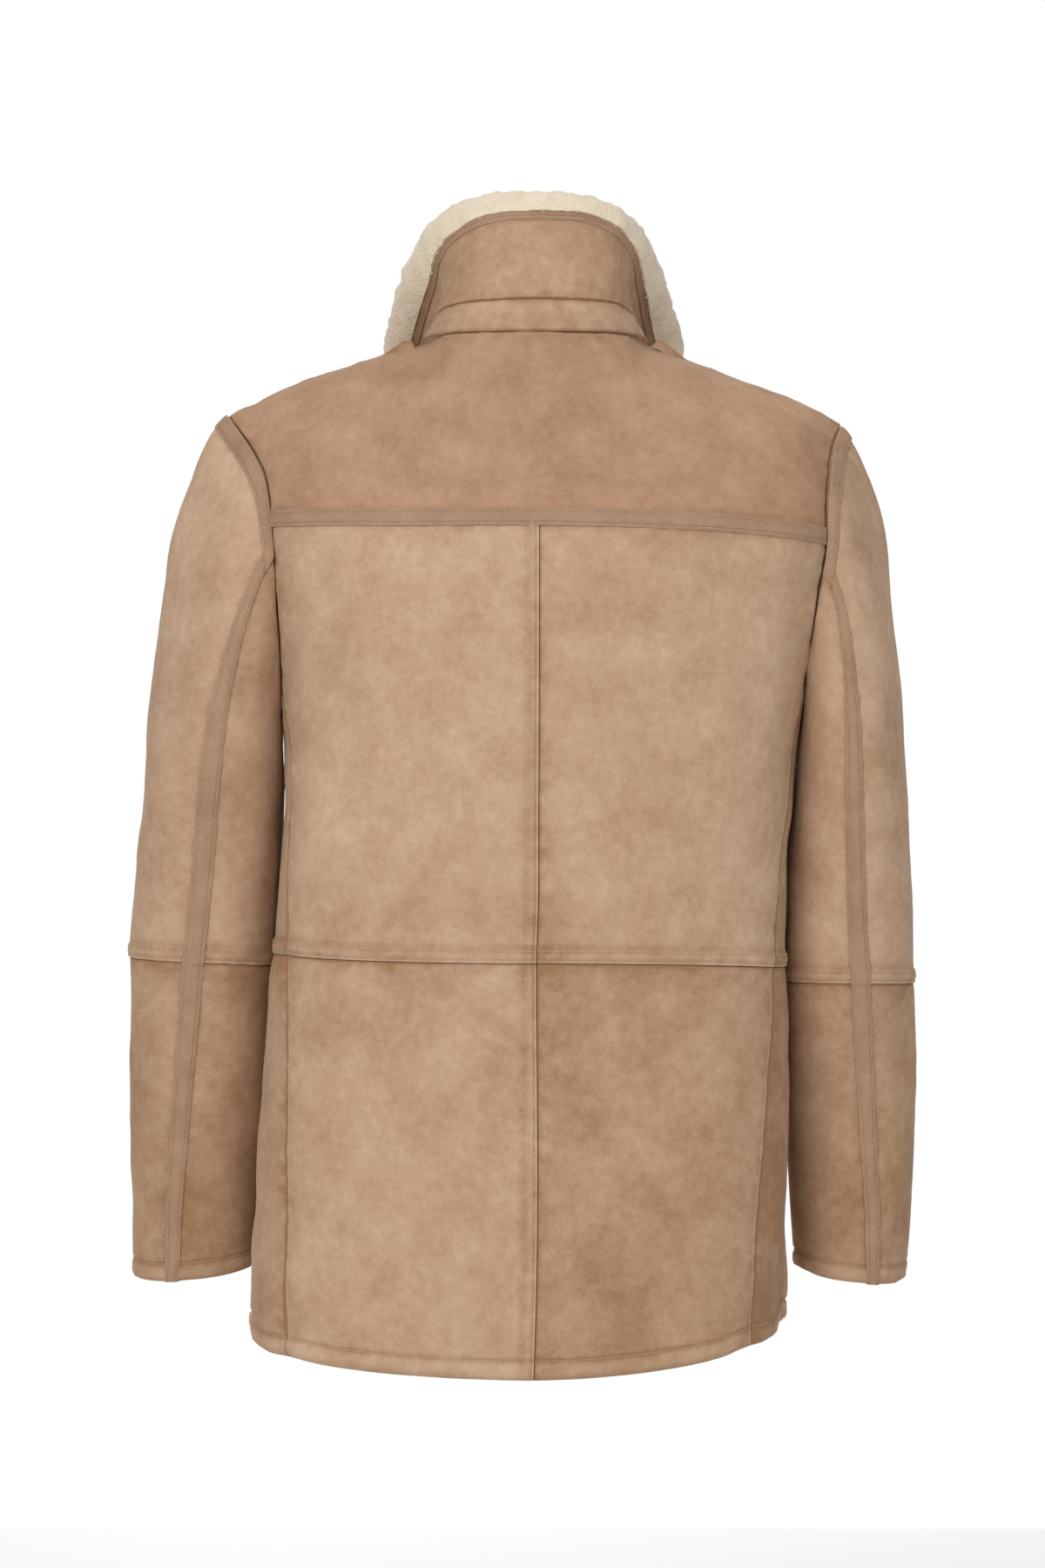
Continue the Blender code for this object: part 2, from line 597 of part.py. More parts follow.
def panel(name, outer, inner, finish):
    """A closed wall. Its rows run down and its columns to the right, seen from outside."""
    rows, columns = outer.shape[:2]
    size = rows * columns

    def index(row, column):
        return row * columns + column

    faces = []
    for row in range(rows - 1):
        for column in range(columns - 1):
            a, b = index(row, column), index(row + 1, column)
            c, d = index(row + 1, column + 1), index(row, column + 1)
            faces += [(a, b, c), (a, c, d)]
            faces += [(size + a, size + c, size + b), (size + a, size + d, size + c)]
    border = [index(0, column) for column in range(columns - 1)]
    border += [index(row, columns - 1) for row in range(rows - 1)]
    border += [index(rows - 1, column) for column in range(columns - 1, 0, -1)]
    border += [index(row, 0) for row in range(rows - 1, 0, -1)]
    points = np.concatenate([outer.reshape(-1, 3), inner.reshape(-1, 3)])
    for a, b in zip(border, border[1:] + border[:1]):
        # Two pieces that meet at a seam split its face along the same diagonal.
        if np.dot(points[a] - points[b], DIAGONAL_FROM) > 0:
            faces += [(a, b, size + b), (a, size + b, size + a)]
        else:
            faces += [(a, b, size + a), (b, size + b, size + a)]
    return add_object(name, points, faces, finish)


def hem_relief(count, groove_row):
    """How far each row of a turned hem stands out, for rows counted from the panel's top."""
    relief = np.zeros(count)
    relief[groove_row : groove_row + HEM_CELLS] = (HEM_GROOVE, HEM_SWELL, HEM_ROLL)
    return relief


def make_body(body, normals, inner):
    """The yoke, backs, sides, fronts and skirt."""
    sewn = dict.fromkeys(("top", "bottom", "left", "right"), SEAM_INSET)

    def piece(name, rows, columns, finish=SUEDE, relief=0.0, edges=None, inside=0.0):
        cut = (slice(rows[0], rows[1] + 1), slice(columns[0], columns[1] + 1))
        relief = np.broadcast_to(relief, body[cut].shape[:2])[..., None]
        inside = np.broadcast_to(inside, body[cut].shape[:2])[..., None]
        outer = body[cut] + normals[cut] * relief
        edges = edges or sewn
        panel(name, trimmed(outer, **edges), trimmed(inner[cut] + normals[cut] * inside, **edges), finish)

    def mirrored(first, last):
        return LAST - last, LAST - first

    lap = np.zeros((WAIST_ROW + 1, LAST + 1))
    lap[WAIST_ROW - 1 :] = LAP_RAISE
    centre_lap = lap.copy()
    centre_lap[BACK_LAP_ROW:, CENTRE - 1 : CENTRE + 1] = LAP_RAISE
    piece("back_yoke", (0, YOKE_ROW), (BACK_EDGE, LAST - BACK_EDGE), YOKE_SUEDE)
    half = (slice(YOKE_ROW, None), slice(BACK_EDGE, CENTRE + 1))
    piece("back_left", (YOKE_ROW, WAIST_ROW), (BACK_EDGE, CENTRE), relief=centre_lap[half])
    piece("back_right", (YOKE_ROW, WAIST_ROW), (CENTRE, LAST - BACK_EDGE), relief=lap[half])

    skirt_rows = HEM_ROW - WAIST_ROW + 1
    hem = hem_relief(skirt_rows, skirt_rows - HEM_CELLS)[:, None]
    centre_hem = np.repeat(hem, CENTRE - BACK_EDGE + 1, axis=1)
    centre_hem[:-HEM_CELLS, -2:] = LAP_RAISE
    to_hem = dict(sewn, bottom=0)
    below = (WAIST_ROW, HEM_ROW)
    piece("skirt_back_left", below, (BACK_EDGE, CENTRE), relief=centre_hem, edges=to_hem)
    piece("skirt_back_right", below, (CENTRE, LAST - BACK_EDGE), relief=hem, edges=to_hem)

    skirt = body[WAIST_ROW:, SIDE, 2]
    open_part = smooth((VENT_TOP - skirt) / VENT_LONG)
    vent = SEAM_INSET + VENT_OPEN * open_part
    for side, word in ((1, "left"), (-1, "right")):
        turn = (lambda a, b: (a, b)) if side > 0 else mirrored
        front_side = "left" if side > 0 else "right"
        back_side = "right" if side > 0 else "left"
        side_lap = lap[ARMPIT_ROW:, FRONT_EDGE : BACK_EDGE + 1]
        piece(f"side_{word}", (ARMPIT_ROW, WAIST_ROW), turn(FRONT_EDGE, BACK_EDGE), relief=side_lap)
        front_edges = dict(sewn, **{front_side: 0})
        piece(
            f"front_{word}", (0, WAIST_ROW), turn(0, FRONT_EDGE),
            relief=lap[:, : FRONT_EDGE + 1], edges=front_edges,
        )
        piece(
            f"skirt_side_{word}", below, turn(SIDE, BACK_EDGE),
            relief=hem, edges=dict(to_hem, **{front_side: vent}),
        )
        most = named(side, VENT_FLARE_LEFT, VENT_FLARE_RIGHT)
        near_vent = smooth(1 - np.arange(SIDE, -1, -1) / (SIDE_CELLS + 1))
        flare = np.outer(most * open_part, near_vent if side > 0 else near_vent[::-1])
        piece(
            f"skirt_front_{word}", below, turn(0, SIDE), relief=hem + flare, inside=flare,
            edges=dict(to_hem, **{front_side: 0, back_side: vent}),
        )
    tape = (slice(TOP_ROWS, YOKE_ROW + 2), slice(BACK_EDGE, LAST - BACK_EDGE + 1))
    make_tape("yoke_tape", body[tape], normals[tape], dict(left=TAPE_END, right=TAPE_END))


def make_tape(name, points, normals, edges):
    over = points + normals * (TAPE_LIFT + TAPE_THICK)
    under = points + normals * TAPE_LIFT
    panel(name, trimmed(over, **edges), trimmed(under, **edges), LEATHER)


def make_sleeve(side, word, grid, normals, inner):
    """The two pieces of the topsleeve, the two of the undersleeve, and the tapes on them."""
    count = len(SLEEVE_ANGLES)
    upper = np.zeros(CUFF_ROW + 1)
    upper[ELBOW_ROW - 1 : ELBOW_ROW + 1] = LAP_RAISE
    lower = hem_relief(CUFF_ROW + 1, CUFF_ROW + 1 - HEM_CELLS)
    tape_relief = upper + lower

    def strip(source, rows, first, last):
        """Columns first to last round the sleeve, in the order that faces outwards."""
        columns = np.arange(first, last + 1 if last > first else last + count + 1) % count
        cut = source[rows[0] : rows[1] + 1][:, columns]
        return cut if side > 0 else cut[:, ::-1]

    for name, first, last in (("topsleeve", FRONT_SEAM, BACK_SEAM), ("undersleeve", BACK_SEAM, FRONT_SEAM)):
        levels = (("upper", (0, ELBOW_ROW), upper), ("lower", (ELBOW_ROW, CUFF_ROW), lower))
        for level, rows, relief in levels:
            raised = grid + normals * relief[:, None, None]
            edges = dict(top=SEAM_INSET, left=SEAM_INSET, right=SEAM_INSET)
            if level == "upper":
                edges["bottom"] = SEAM_INSET
            outside = trimmed(strip(raised, rows, first, last), **edges)
            inside = trimmed(strip(inner, rows, first, last), **edges)
            panel(f"{name}_{level}_{word}", outside, inside, SUEDE)

    make_tape(
        f"armhole_tape_{word}",
        strip(grid, (0, 2), ARMHOLE_TAPE_FROM, ARMHOLE_TAPE_TO),
        strip(normals, (0, 2), ARMHOLE_TAPE_FROM, ARMHOLE_TAPE_TO),
        dict(top=TAPE_END, bottom=SEAM_INSET),
    )
    raised = grid + normals * tape_relief[:, None, None]
    make_tape(
        f"sleeve_tape_{word}",
        strip(raised, (2, CUFF_ROW), BACK_SEAM - 1, BACK_SEAM + 1),
        strip(normals, (2, CUFF_ROW), BACK_SEAM - 1, BACK_SEAM + 1),
        dict(top=SEAM_INSET),
    )


def make_collar(grid, normals, inner, rims):
    """The stand, the fall, the tape along the fall's edge, and the wool that stands past it."""
    sewn = dict(top=SEAM_INSET, bottom=SEAM_INSET)
    stand, fall = slice(STAND_ROW, None, -1), slice(None, STAND_ROW - 1, -1)
    for name, rows in (("collar_stand", stand), ("collar_fall", fall)):
        panel(name, trimmed(grid[rows], **sewn), trimmed(inner[rows], **sewn), SUEDE)
    hollow = normals * TAPE_LIFT  # the edge tape bridges the collar's hollow sides
    edge = slice(None, EDGE_TAPE_ROW - 1, -1)
    make_tape("collar_edge_tape", (grid + hollow)[edge], normals[edge], dict(top=TAPE_END / 2))

    last = grid[-1]
    outward = normals[-1]
    onward = last - grid[-2]
    onward = unit(onward - outward * np.sum(onward * outward, axis=1, keepdims=True))
    turns = np.radians(np.linspace(90, -90, RIM_POINTS))
    thick = (RIM_OUT + RIM_IN) / 2
    middle = last + onward * TAPE_LIFT + outward * (RIM_OUT - thick)
    section = [
        middle + outward * thick * np.sin(turn) + onward * rims[:, None] * np.cos(turn) for turn in turns
    ]
    section += [last + onward * TAPE_LIFT - outward * COLLAR_WALL, last + onward * TAPE_LIFT]
    points = np.array(section)
    rows, columns = points.shape[:2]
    faces = []
    for row in range(rows):
        for column in range(columns - 1):
            a, d = row * columns + column, row * columns + column + 1
            below = (row + 1) % rows * columns + column
            if np.dot(last[column] - last[column + 1], DIAGONAL_FROM) > 0:
                faces += [(a, d, below), (d, below + 1, below)]
            else:
                faces += [(a, d, below + 1), (a, below + 1, below)]
    for column, turn in ((0, 1), (columns - 1, -1)):
        cap = [row * columns + column for row in range(rows)]
        for i in range(1, rows - 1):
            faces.append((cap[0], cap[i], cap[i + 1])[::turn])
    add_object("collar_wool", points.reshape(-1, 3), faces, WOOL)


def make_buttons(body, normals):
    """Plain domed discs down the centre front, each square to the left front's outside."""
    around = BUTTON_CORNERS
    column = body[:, 1]
    for number, height in enumerate(BUTTON_HEIGHTS, 1):
        seat = np.array([np.interp(-height, -column[:, 2], column[:, i]) for i in range(3)])
        out = unit(np.array([0, *[np.interp(-height, -column[:, 2], normals[:, 1, i]) for i in (1, 2)]]))
        up = np.array([0, -out[2], out[1]]) * np.sign(out[1])
        points = []
        for radius, level in BUTTON_PROFILE:
            for step in range(around):
                turn = 2 * np.pi * step / around
                flat = np.array([np.cos(turn), 0, 0]) + up * np.sin(turn)
                lift = TAPE_LIFT + BUTTON_CLEAR + BUTTON_THICK * level
                points.append(seat + flat * BUTTON_RADIUS * radius + out * lift)
        rings = len(BUTTON_PROFILE) - 1
        faces = [tuple(range(around))[::-1], tuple(range(rings * around, (rings + 1) * around))]
        for ring in range(rings):
            for step in range(around):
                a, b = ring * around + step, ring * around + (step + 1) % around
                faces.append((a, b, b + around, a + around))
        add_object(f"button_{number}", points, faces, HORN)


def build():
    for old in list(bpy.data.objects):
        bpy.data.objects.remove(old, do_unlink=True)

    body, rounds = body_grid()
    normals = grid_normals(body)
    inner = body - normals * WALL

    for side, word in ((1, "left"), (-1, "right")):
        back = np.arange(BACK_EDGE, NECK_BACK + 1)
        front = np.arange(FRONT_EDGE, NECK_FRONT - 1, -1)
        if side < 0:
            back, front = LAST - back, LAST - front
        for a, b in zip(back, front):
            shared = mitre(body[0, a], WALL, normals[0, a], normals[0, b])
            inner[0, a] = inner[0, b] = shared

        cells = armhole_cells(side)
        loop = np.array([body[cell] for cell in cells])
        grid = sleeve_grid(side, loop)
        sleeve_normals = grid_normals(grid, closed=True) * side
        sleeve_inner = grid - sleeve_normals * SLEEVE_WALL
        centre = loop.mean(axis=0)
        for column, cell in enumerate(cells):
            meet = armhole_inner(loop[column], centre, (normals[cell], sleeve_normals[0, column]))
            sleeve_inner[0, column] = inner[cell] = meet
        inner[0, front[0]] = inner[0, back[0]] = sleeve_inner[0, 0]
        make_sleeve(side, word, grid, sleeve_normals, sleeve_inner)

    left, right = rounds
    columns = [*range(COLLAR_END, NECK_FRONT + 1), *range(NECK_BACK + 1, LAST - NECK_BACK + 1)]
    columns += range(LAST - NECK_FRONT + 1, LAST - COLLAR_END + 1)
    steps = NECK_FRONT - COLLAR_END
    places = [*left[0][:steps + 1], *left[1][SHOULDER_CELLS + 1 :], *right[1][-2 : SHOULDER_CELLS - 1 : -1]]
    places += right[0][steps - 1 :: -1]
    base = body[0, columns]
    collar = collar_grid(base, places)
    collar_normals = -grid_normals(collar)
    collar_inner = collar - collar_normals * COLLAR_WALL
    for i, column in enumerate(columns):
        meet = mitre(base[i], WALL, normals[0, column], collar_normals[0, i])
        collar_inner[0, i] = inner[0, column] = meet
    inner[0, NECK_BACK] = inner[0, NECK_FRONT]
    inner[0, LAST - NECK_FRONT] = inner[0, LAST - NECK_BACK]
    rims = [
        along(COLLAR, named(start[0], "rim_left", "rim_right"), place) for start, place in zip(base, places)
    ]
    make_collar(collar, collar_normals, collar_inner, np.array(rims))
    make_body(body, normals, inner)
    make_buttons(body, normals)


build()
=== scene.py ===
# %% [markdown]
# # A shearling coat
# The coat is sheepskin with the suede outside and the wool inside. It stands as if worn, with nothing in it.
# It is built here as it is sewn: panels that follow one body shape, leather tapes over the open seams, a
# collar that ends in a rim of wool, and then the stitches. Sizes are millimetres until a mesh is made.
# The coat faces -Y, its left is +X, and the origin is the middle of the neck.

import bpy
import numpy as np
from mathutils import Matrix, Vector


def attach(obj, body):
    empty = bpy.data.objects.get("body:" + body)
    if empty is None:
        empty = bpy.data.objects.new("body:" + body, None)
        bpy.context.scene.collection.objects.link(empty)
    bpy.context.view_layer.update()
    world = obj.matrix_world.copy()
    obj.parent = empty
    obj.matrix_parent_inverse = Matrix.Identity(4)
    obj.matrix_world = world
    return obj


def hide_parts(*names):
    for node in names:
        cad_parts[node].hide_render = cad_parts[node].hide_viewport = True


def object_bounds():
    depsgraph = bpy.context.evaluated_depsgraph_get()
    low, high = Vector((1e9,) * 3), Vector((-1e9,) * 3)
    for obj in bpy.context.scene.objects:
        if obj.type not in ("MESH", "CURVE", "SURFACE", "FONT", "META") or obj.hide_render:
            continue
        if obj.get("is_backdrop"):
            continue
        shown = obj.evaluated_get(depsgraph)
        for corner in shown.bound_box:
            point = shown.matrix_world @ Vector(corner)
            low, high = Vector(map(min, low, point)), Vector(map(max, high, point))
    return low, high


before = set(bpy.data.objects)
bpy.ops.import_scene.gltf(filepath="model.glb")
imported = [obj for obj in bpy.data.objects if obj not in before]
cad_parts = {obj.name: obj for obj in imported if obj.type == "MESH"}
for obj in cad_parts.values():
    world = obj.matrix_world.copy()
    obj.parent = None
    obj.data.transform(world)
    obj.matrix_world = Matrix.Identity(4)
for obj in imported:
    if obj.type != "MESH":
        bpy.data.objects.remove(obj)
part_box = [list(corner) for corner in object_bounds()]
MM = 0.001
print("part box", [[round(value, 3) for value in corner] for corner in part_box])

# %% [markdown]
# The camera stands level behind the coat, 4.5 m away, so that the two sides look nearly parallel, as in a
# shop's photo. It is the first thing made, because every later choice is judged from where it stands.

# %% Camera
CAMERA_AT = (0.00924, 4.5, -0.3425)
PICTURE_HEIGHT = 1.188  # metres of the coat's own plane seen from top to bottom

scene = bpy.context.scene
camera = bpy.data.objects.new("camera", bpy.data.cameras.new("camera"))
scene.collection.objects.link(camera)
camera.location = CAMERA_AT
camera.rotation_euler = (np.pi / 2, 0, np.pi)
camera.data.sensor_width = 36
camera.data.lens = 36 * CAMERA_AT[1] / PICTURE_HEIGHT
camera.data.clip_end = 100
scene.camera = camera
scene.render.resolution_x, scene.render.resolution_y = 1200, 1800
scene.view_settings.view_transform = "Standard"

# %% [markdown]
# The studio is white: a pale floor some way below the hem, one large soft lamp beside the camera and weaker
# ones round the coat. The room is plain grey-white, and the wall that the camera looks at is lit until it
# is pure white, as in a shop's photo.

# %% Floor, room and lamps
def plain_material(name, colour, roughness, glow=0.0):
    material = bpy.data.materials.new(name)
    material.use_nodes = True
    shader = material.node_tree.nodes["Principled BSDF"]
    shader.inputs["Base Color"].default_value = (*colour, 1)
    shader.inputs["Roughness"].default_value = roughness
    shader.inputs["Emission Color"].default_value = (1, 1, 1, 1)
    shader.inputs["Emission Strength"].default_value = glow
    return material


FLOOR_AT, FLOOR_HALF = -1.12, 1.7
ROOM_LIGHT, WALL_LIGHT = 0.45, 1.0
WALL_EDGE, WALL_MIDDLE = -0.90, -0.97  # the wall is lit where a ray's way back is from one to the other
mesh = bpy.data.meshes.new("floor")
corners = [(x * FLOOR_HALF, y * FLOOR_HALF, FLOOR_AT) for x, y in ((-1, -1), (1, -1), (1, 1), (-1, 1))]
mesh.from_pydata(corners, [], [(0, 1, 2, 3)])
mesh.materials.append(plain_material("floor_paper", (0.86, 0.86, 0.86), 0.9))
floor = bpy.data.objects.new("floor", mesh)
scene.collection.objects.link(floor)
floor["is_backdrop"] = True


def lamp(name, place, aim, size, power):
    light = bpy.data.lights.new(name, "AREA")
    light.shape = "RECTANGLE"
    light.size, light.size_y = size
    light.energy = power
    holder = bpy.data.objects.new(name, light)
    holder.location = place
    towards = Vector(aim) - Vector(place)
    holder.rotation_euler = towards.to_track_quat("-Z", "Y").to_euler()
    holder.visible_camera = False
    scene.collection.objects.link(holder)


lamp("key", (1.3, 3.4, 1.1), (0, 0, -0.35), (2.4, 2.4), 86)
lamp("fill", (-2.2, 3.0, 0.2), (0, 0, -0.4), (1.8, 2.4), 20)
lamp("top", (0, 0.4, 2.4), (0, 0, -0.2), (2.5, 1.6), 16)
lamp("front", (0, -2.6, 0.8), (0, 0, -0.35), (2.2, 1.6), 40)
scene.world = bpy.data.worlds.new("studio")
scene.world.use_nodes = True
room = scene.world.node_tree
towards_wall = room.nodes.new("ShaderNodeSeparateXYZ")
room.links.new(room.nodes.new("ShaderNodeTexCoord").outputs["Generated"], towards_wall.inputs[0])
brightness = room.nodes.new("ShaderNodeMapRange")
brightness.inputs["From Min"].default_value = WALL_EDGE
brightness.inputs["From Max"].default_value = WALL_MIDDLE
brightness.inputs["To Min"].default_value = ROOM_LIGHT
brightness.inputs["To Max"].default_value = WALL_LIGHT
room.links.new(towards_wall.outputs["Y"], brightness.inputs["Value"])
room.links.new(brightness.outputs["Result"], room.nodes["Background"].inputs["Strength"])
room.nodes["Background"].inputs["Color"].default_value = (1, 1, 1, 1)
print("camera lens", round(camera.data.lens, 1), "mm, lamps", len(bpy.data.lights))

# %% [markdown]
# A material is worked out with ordinary sums. `Field` stands for a number that varies over the surface, and
# its plus, minus and times make the matching nodes, so the recipe below reads like arithmetic.

# %% Sums in materials
class Field:
    """A value in a material's node tree."""

    def __init__(self, tree, socket):
        self.tree = tree
        self.socket = socket

    def node(self, kind, inputs, output=0, **settings):
        """Any node: its inputs by name or number, its settings by name."""
        made = self.tree.nodes.new(kind)
        for name, value in settings.items():
            setattr(made, name, value)
        for key, value in inputs.items():
            if isinstance(value, Field):
                self.tree.links.new(value.socket, made.inputs[key])
            else:
                made.inputs[key].default_value = value
        return Field(self.tree, made.outputs[output])

    def math(self, operation, *values):
        return self.node("ShaderNodeMath", dict(enumerate(values)), operation=operation)

    def __add__(self, other):
        return self.math("ADD", self, other)

    def __radd__(self, other):
        return self.math("ADD", other, self)

    def __sub__(self, other):
        return self.math("SUBTRACT", self, other)

    def __rsub__(self, other):
        return self.math("SUBTRACT", other, self)

    def __mul__(self, other):
        return self.math("MULTIPLY", self, other)

    def __rmul__(self, other):
        return self.math("MULTIPLY", other, self)

    def clamped(self):
        return self.node("ShaderNodeClamp", {0: self})

    def noise(self, scale, detail=2.0, roughness=0.5):
        """Cloudy noise about 0, from -0.5 to 0.5, this many clouds a metre; self holds the coordinates."""
        inputs = {"Vector": self, "Scale": scale, "Detail": detail, "Roughness": roughness}
        return self.node("ShaderNodeTexNoise", inputs) - 0.5

    def cells(self, scale):
        """Distance from the middles of random cells, this many a metre; self holds the coordinates."""
        return self.node("ShaderNodeTexVoronoi", {"Vector": self, "Scale": scale})

    def blend(self, low, high):
        """A colour from low (where self is 0) to high (where it is 1)."""
        inputs = {0: self, 6: (*low, 1), 7: (*high, 1)}
        return self.node("ShaderNodeMix", inputs, output=2, data_type="RGBA")

    def bump(self, strength, distance):
        return self.node("ShaderNodeBump", {"Height": self, "Strength": strength, "Distance": distance})


def new_material(name, roughness, sheen=0.0, sheen_tint=(1, 1, 1)):
    """A material's name, its coordinates, its shade attribute and a function that plugs a value in."""
    material = plain_material(name, (0.5, 0.5, 0.5), roughness)
    tree = material.node_tree
    shader = tree.nodes["Principled BSDF"]
    shader.inputs["Sheen Weight"].default_value = sheen
    shader.inputs["Sheen Roughness"].default_value = 0.5
    shader.inputs["Sheen Tint"].default_value = (*sheen_tint, 1)
    shader.inputs["Specular IOR Level"].default_value = 0.25
    coordinates = tree.nodes.new("ShaderNodeTexCoord")
    shade = tree.nodes.new("ShaderNodeAttribute")
    shade.attribute_name = "shade"
    places = Field(tree, coordinates.outputs["Object"])

    def plug(socket, value):
        tree.links.new(value.socket, shader.inputs[socket])

    return material, places, Field(tree, shade.outputs["Fac"]), plug


# %% [markdown]
# Suede is the flesh side of the skin, buffed to a nap. Its colour is uneven in clouds a few centimetres wide
# where the dye took differently, with a fine mottle where the nap lies this way or that. The attribute
# `shade`
# paints light and shade from the shape: painted shade in stitched grooves and beside seams, and paler raised
# edges, partly rubbed and partly a painted highlight; it also carries each panel's tone, part dye, part
# shade.

# %% Suede, leather, wool, thread and horn
def suede(name, low, high):
    material, places, shade, plug = new_material(name, 0.95, sheen=0.12, sheen_tint=(1.0, 0.8, 0.6))
    clouds = places.noise(7, 2) * 0.55 + places.noise(28, 3, 0.6) * 0.6
    mottle = places.noise(120, 3, 0.7) * 0.55 + places.noise(600, 2) * 0.3
    # shade: painted shade in grooves, seam dips and panels turned from the light; paler raised edges, rubbed
    # and painted as highlights
    amount = 0.5 + clouds + mottle + shade * 0.55
    plug("Base Color", amount.clamped().blend(low, high))
    nap = places.noise(900, 2, 0.6) * 0.5 + places.noise(160, 3, 0.6)
    plug("Normal", nap.bump(0.35, 0.0012))
    return material


def smooth_leather(name, low, high):
    material, places, shade, plug = new_material(name, 0.62)
    # shade: painted shade in the tapes' stitch grooves and a painted highlight on their rubbed edges
    amount = 0.5 + places.noise(40, 3) * 0.7 + places.noise(400, 3) * 0.5 + shade * 0.5
    plug("Base Color", amount.clamped().blend(low, high))
    grain = places.cells(900) + places.noise(220, 3) * 1.2
    plug("Normal", grain.bump(0.25, 0.0006))
    return material


def fleece(name, low, high):
    material, places, shade, plug = new_material(name, 1.0, sheen=0.35)
    amount = 0.55 + places.noise(60, 3) * 0.8 + places.noise(420, 3) * 1.1 + shade * 0.6
    plug("Base Color", amount.clamped().blend(low, high))
    curls = places.cells(330) * 0.9 + places.noise(700, 3) * 0.8
    plug("Normal", curls.bump(0.45, 0.0015))
    return material


SUEDE = suede("napped_suede", (0.29, 0.158, 0.079), (0.625, 0.445, 0.312))
YOKE = suede("browner_suede", (0.24, 0.122, 0.058), (0.55, 0.347, 0.226))
LEATHER = smooth_leather("smooth_leather", (0.23, 0.128, 0.072), (0.455, 0.295, 0.19))
FLEECE = fleece("cream_wool", (0.62, 0.51, 0.375), (0.76, 0.67, 0.52))
THREAD = plain_material("thread", (0.50, 0.36, 0.245), 0.7)
HORN = plain_material("dark_horn", (0.10, 0.055, 0.03), 0.3)
print("materials", [material.name for material in (SUEDE, YOKE, LEATHER, FLEECE, THREAD, HORN)])

# %% [markdown]
# The cloth's shape comes from short tables of sizes and from smooth curves between them. These are the few
# sums that all the cells below use: a unit direction, a soft step, a value between two, and a cubic curve.

# %% Sums on points
def table(columns, *rows):
    """Named columns of numbers; the first column is what the others are read along."""
    return dict(zip(columns.split(), np.array(rows, float).T))


def unit(vectors):
    length = np.linalg.norm(vectors, axis=-1, keepdims=True)
    return vectors / np.where(length > 0, length, 1)


def smooth(amount):
    amount = np.clip(amount, 0, 1)
    return amount * amount * (3 - 2 * amount)


def between(start, end, amount):
    return start + (end - start) * amount


def hermite(start, start_pull, end, end_pull, at):
    """The cubic from start to end with these pulls."""
    square, cube = at * at, at * at * at
    return (
        start * (2 * cube - 3 * square + 1)
        + start_pull * (cube - 2 * square + at)
        + end * (3 * square - 2 * cube)
        + end_pull * (cube - square)
    )


def along(rows, name, at):
    """The named column of a table, read smoothly at a value of the table's first column."""
    knots, values = rows[next(iter(rows))], rows[name]
    slopes = np.gradient(values, knots)
    at = np.clip(at, knots[0], knots[-1])
    low = np.clip(np.searchsorted(knots, at, side="right") - 1, 0, len(knots) - 2)
    width = knots[low + 1] - knots[low]
    return hermite(
        values[low], slopes[low] * width, values[low + 1], slopes[low + 1] * width, (at - knots[low]) / width
    )


def named(side, left, right):
    return left if side > 0 else right

# %% [markdown]
# A coat is cut to measurements taken round the body at several heights. `BODY` is that list: how far the coat
# reaches left, right, back and front, and where its side-back and side-front seams run. It hangs from the
# shoulders, narrows a little at the waist and widens to the hem, and the photo's outline gave each width.

# %% Sizes of the body
WALL = 8.0  # hide and clipped wool together
COLLAR_WALL = 9.0
SLEEVE_WALL = 7.0
ROUND_SIDE = 0.72  # how square the body's plan is, at the side and at the back
FLAT_BACK = 0.72
SHOULDER_POINT = 232.0
NECK_SIDE = 88.0
SHOULDER_DEPTH = -4.0
SHOULDER_PULL = 1.2  # how far the cloth stays level behind and before the shoulder seam
JOINT_NECK_SIDE = 84.0
FRONT_LAP = 22.0  # how far each front runs past the centre
LAP_LIFT = 9.6  # the left front clears the right one by this
LAP_FULL, LAP_NONE = 28.0, 75.0
VENT_TOP, VENT_LONG = -655.0, 90.0
VENT_FLARE_LEFT, VENT_FLARE_RIGHT = 1.5, 5.0
TAPE_LIFT = 0.3
TAPE_THICK = 1.2
TAPE_HALF = 7.0
EDGE_TAPE = 9.0
RIM_OUT, RIM_IN = 2.0, 15.0  # wool rim, proud of the suede and past it inside
BUTTON_RADIUS = 13.0
BUTTON_HEIGHTS = (-160.0, -255.0, -350.0, -445.0, -540.0)
ROW_BEND = 1.5  # how late a row leaves the centre's height for the side's
FLANK_SHARE = 0.85  # the side seams' share of the step from the centre's height to the side's
ARMPIT_BEND = 2.2  # how flat the armhole runs under the arm
MITRE_LEAST = 0.62  # walls that meet more sharply than this aren't made longer

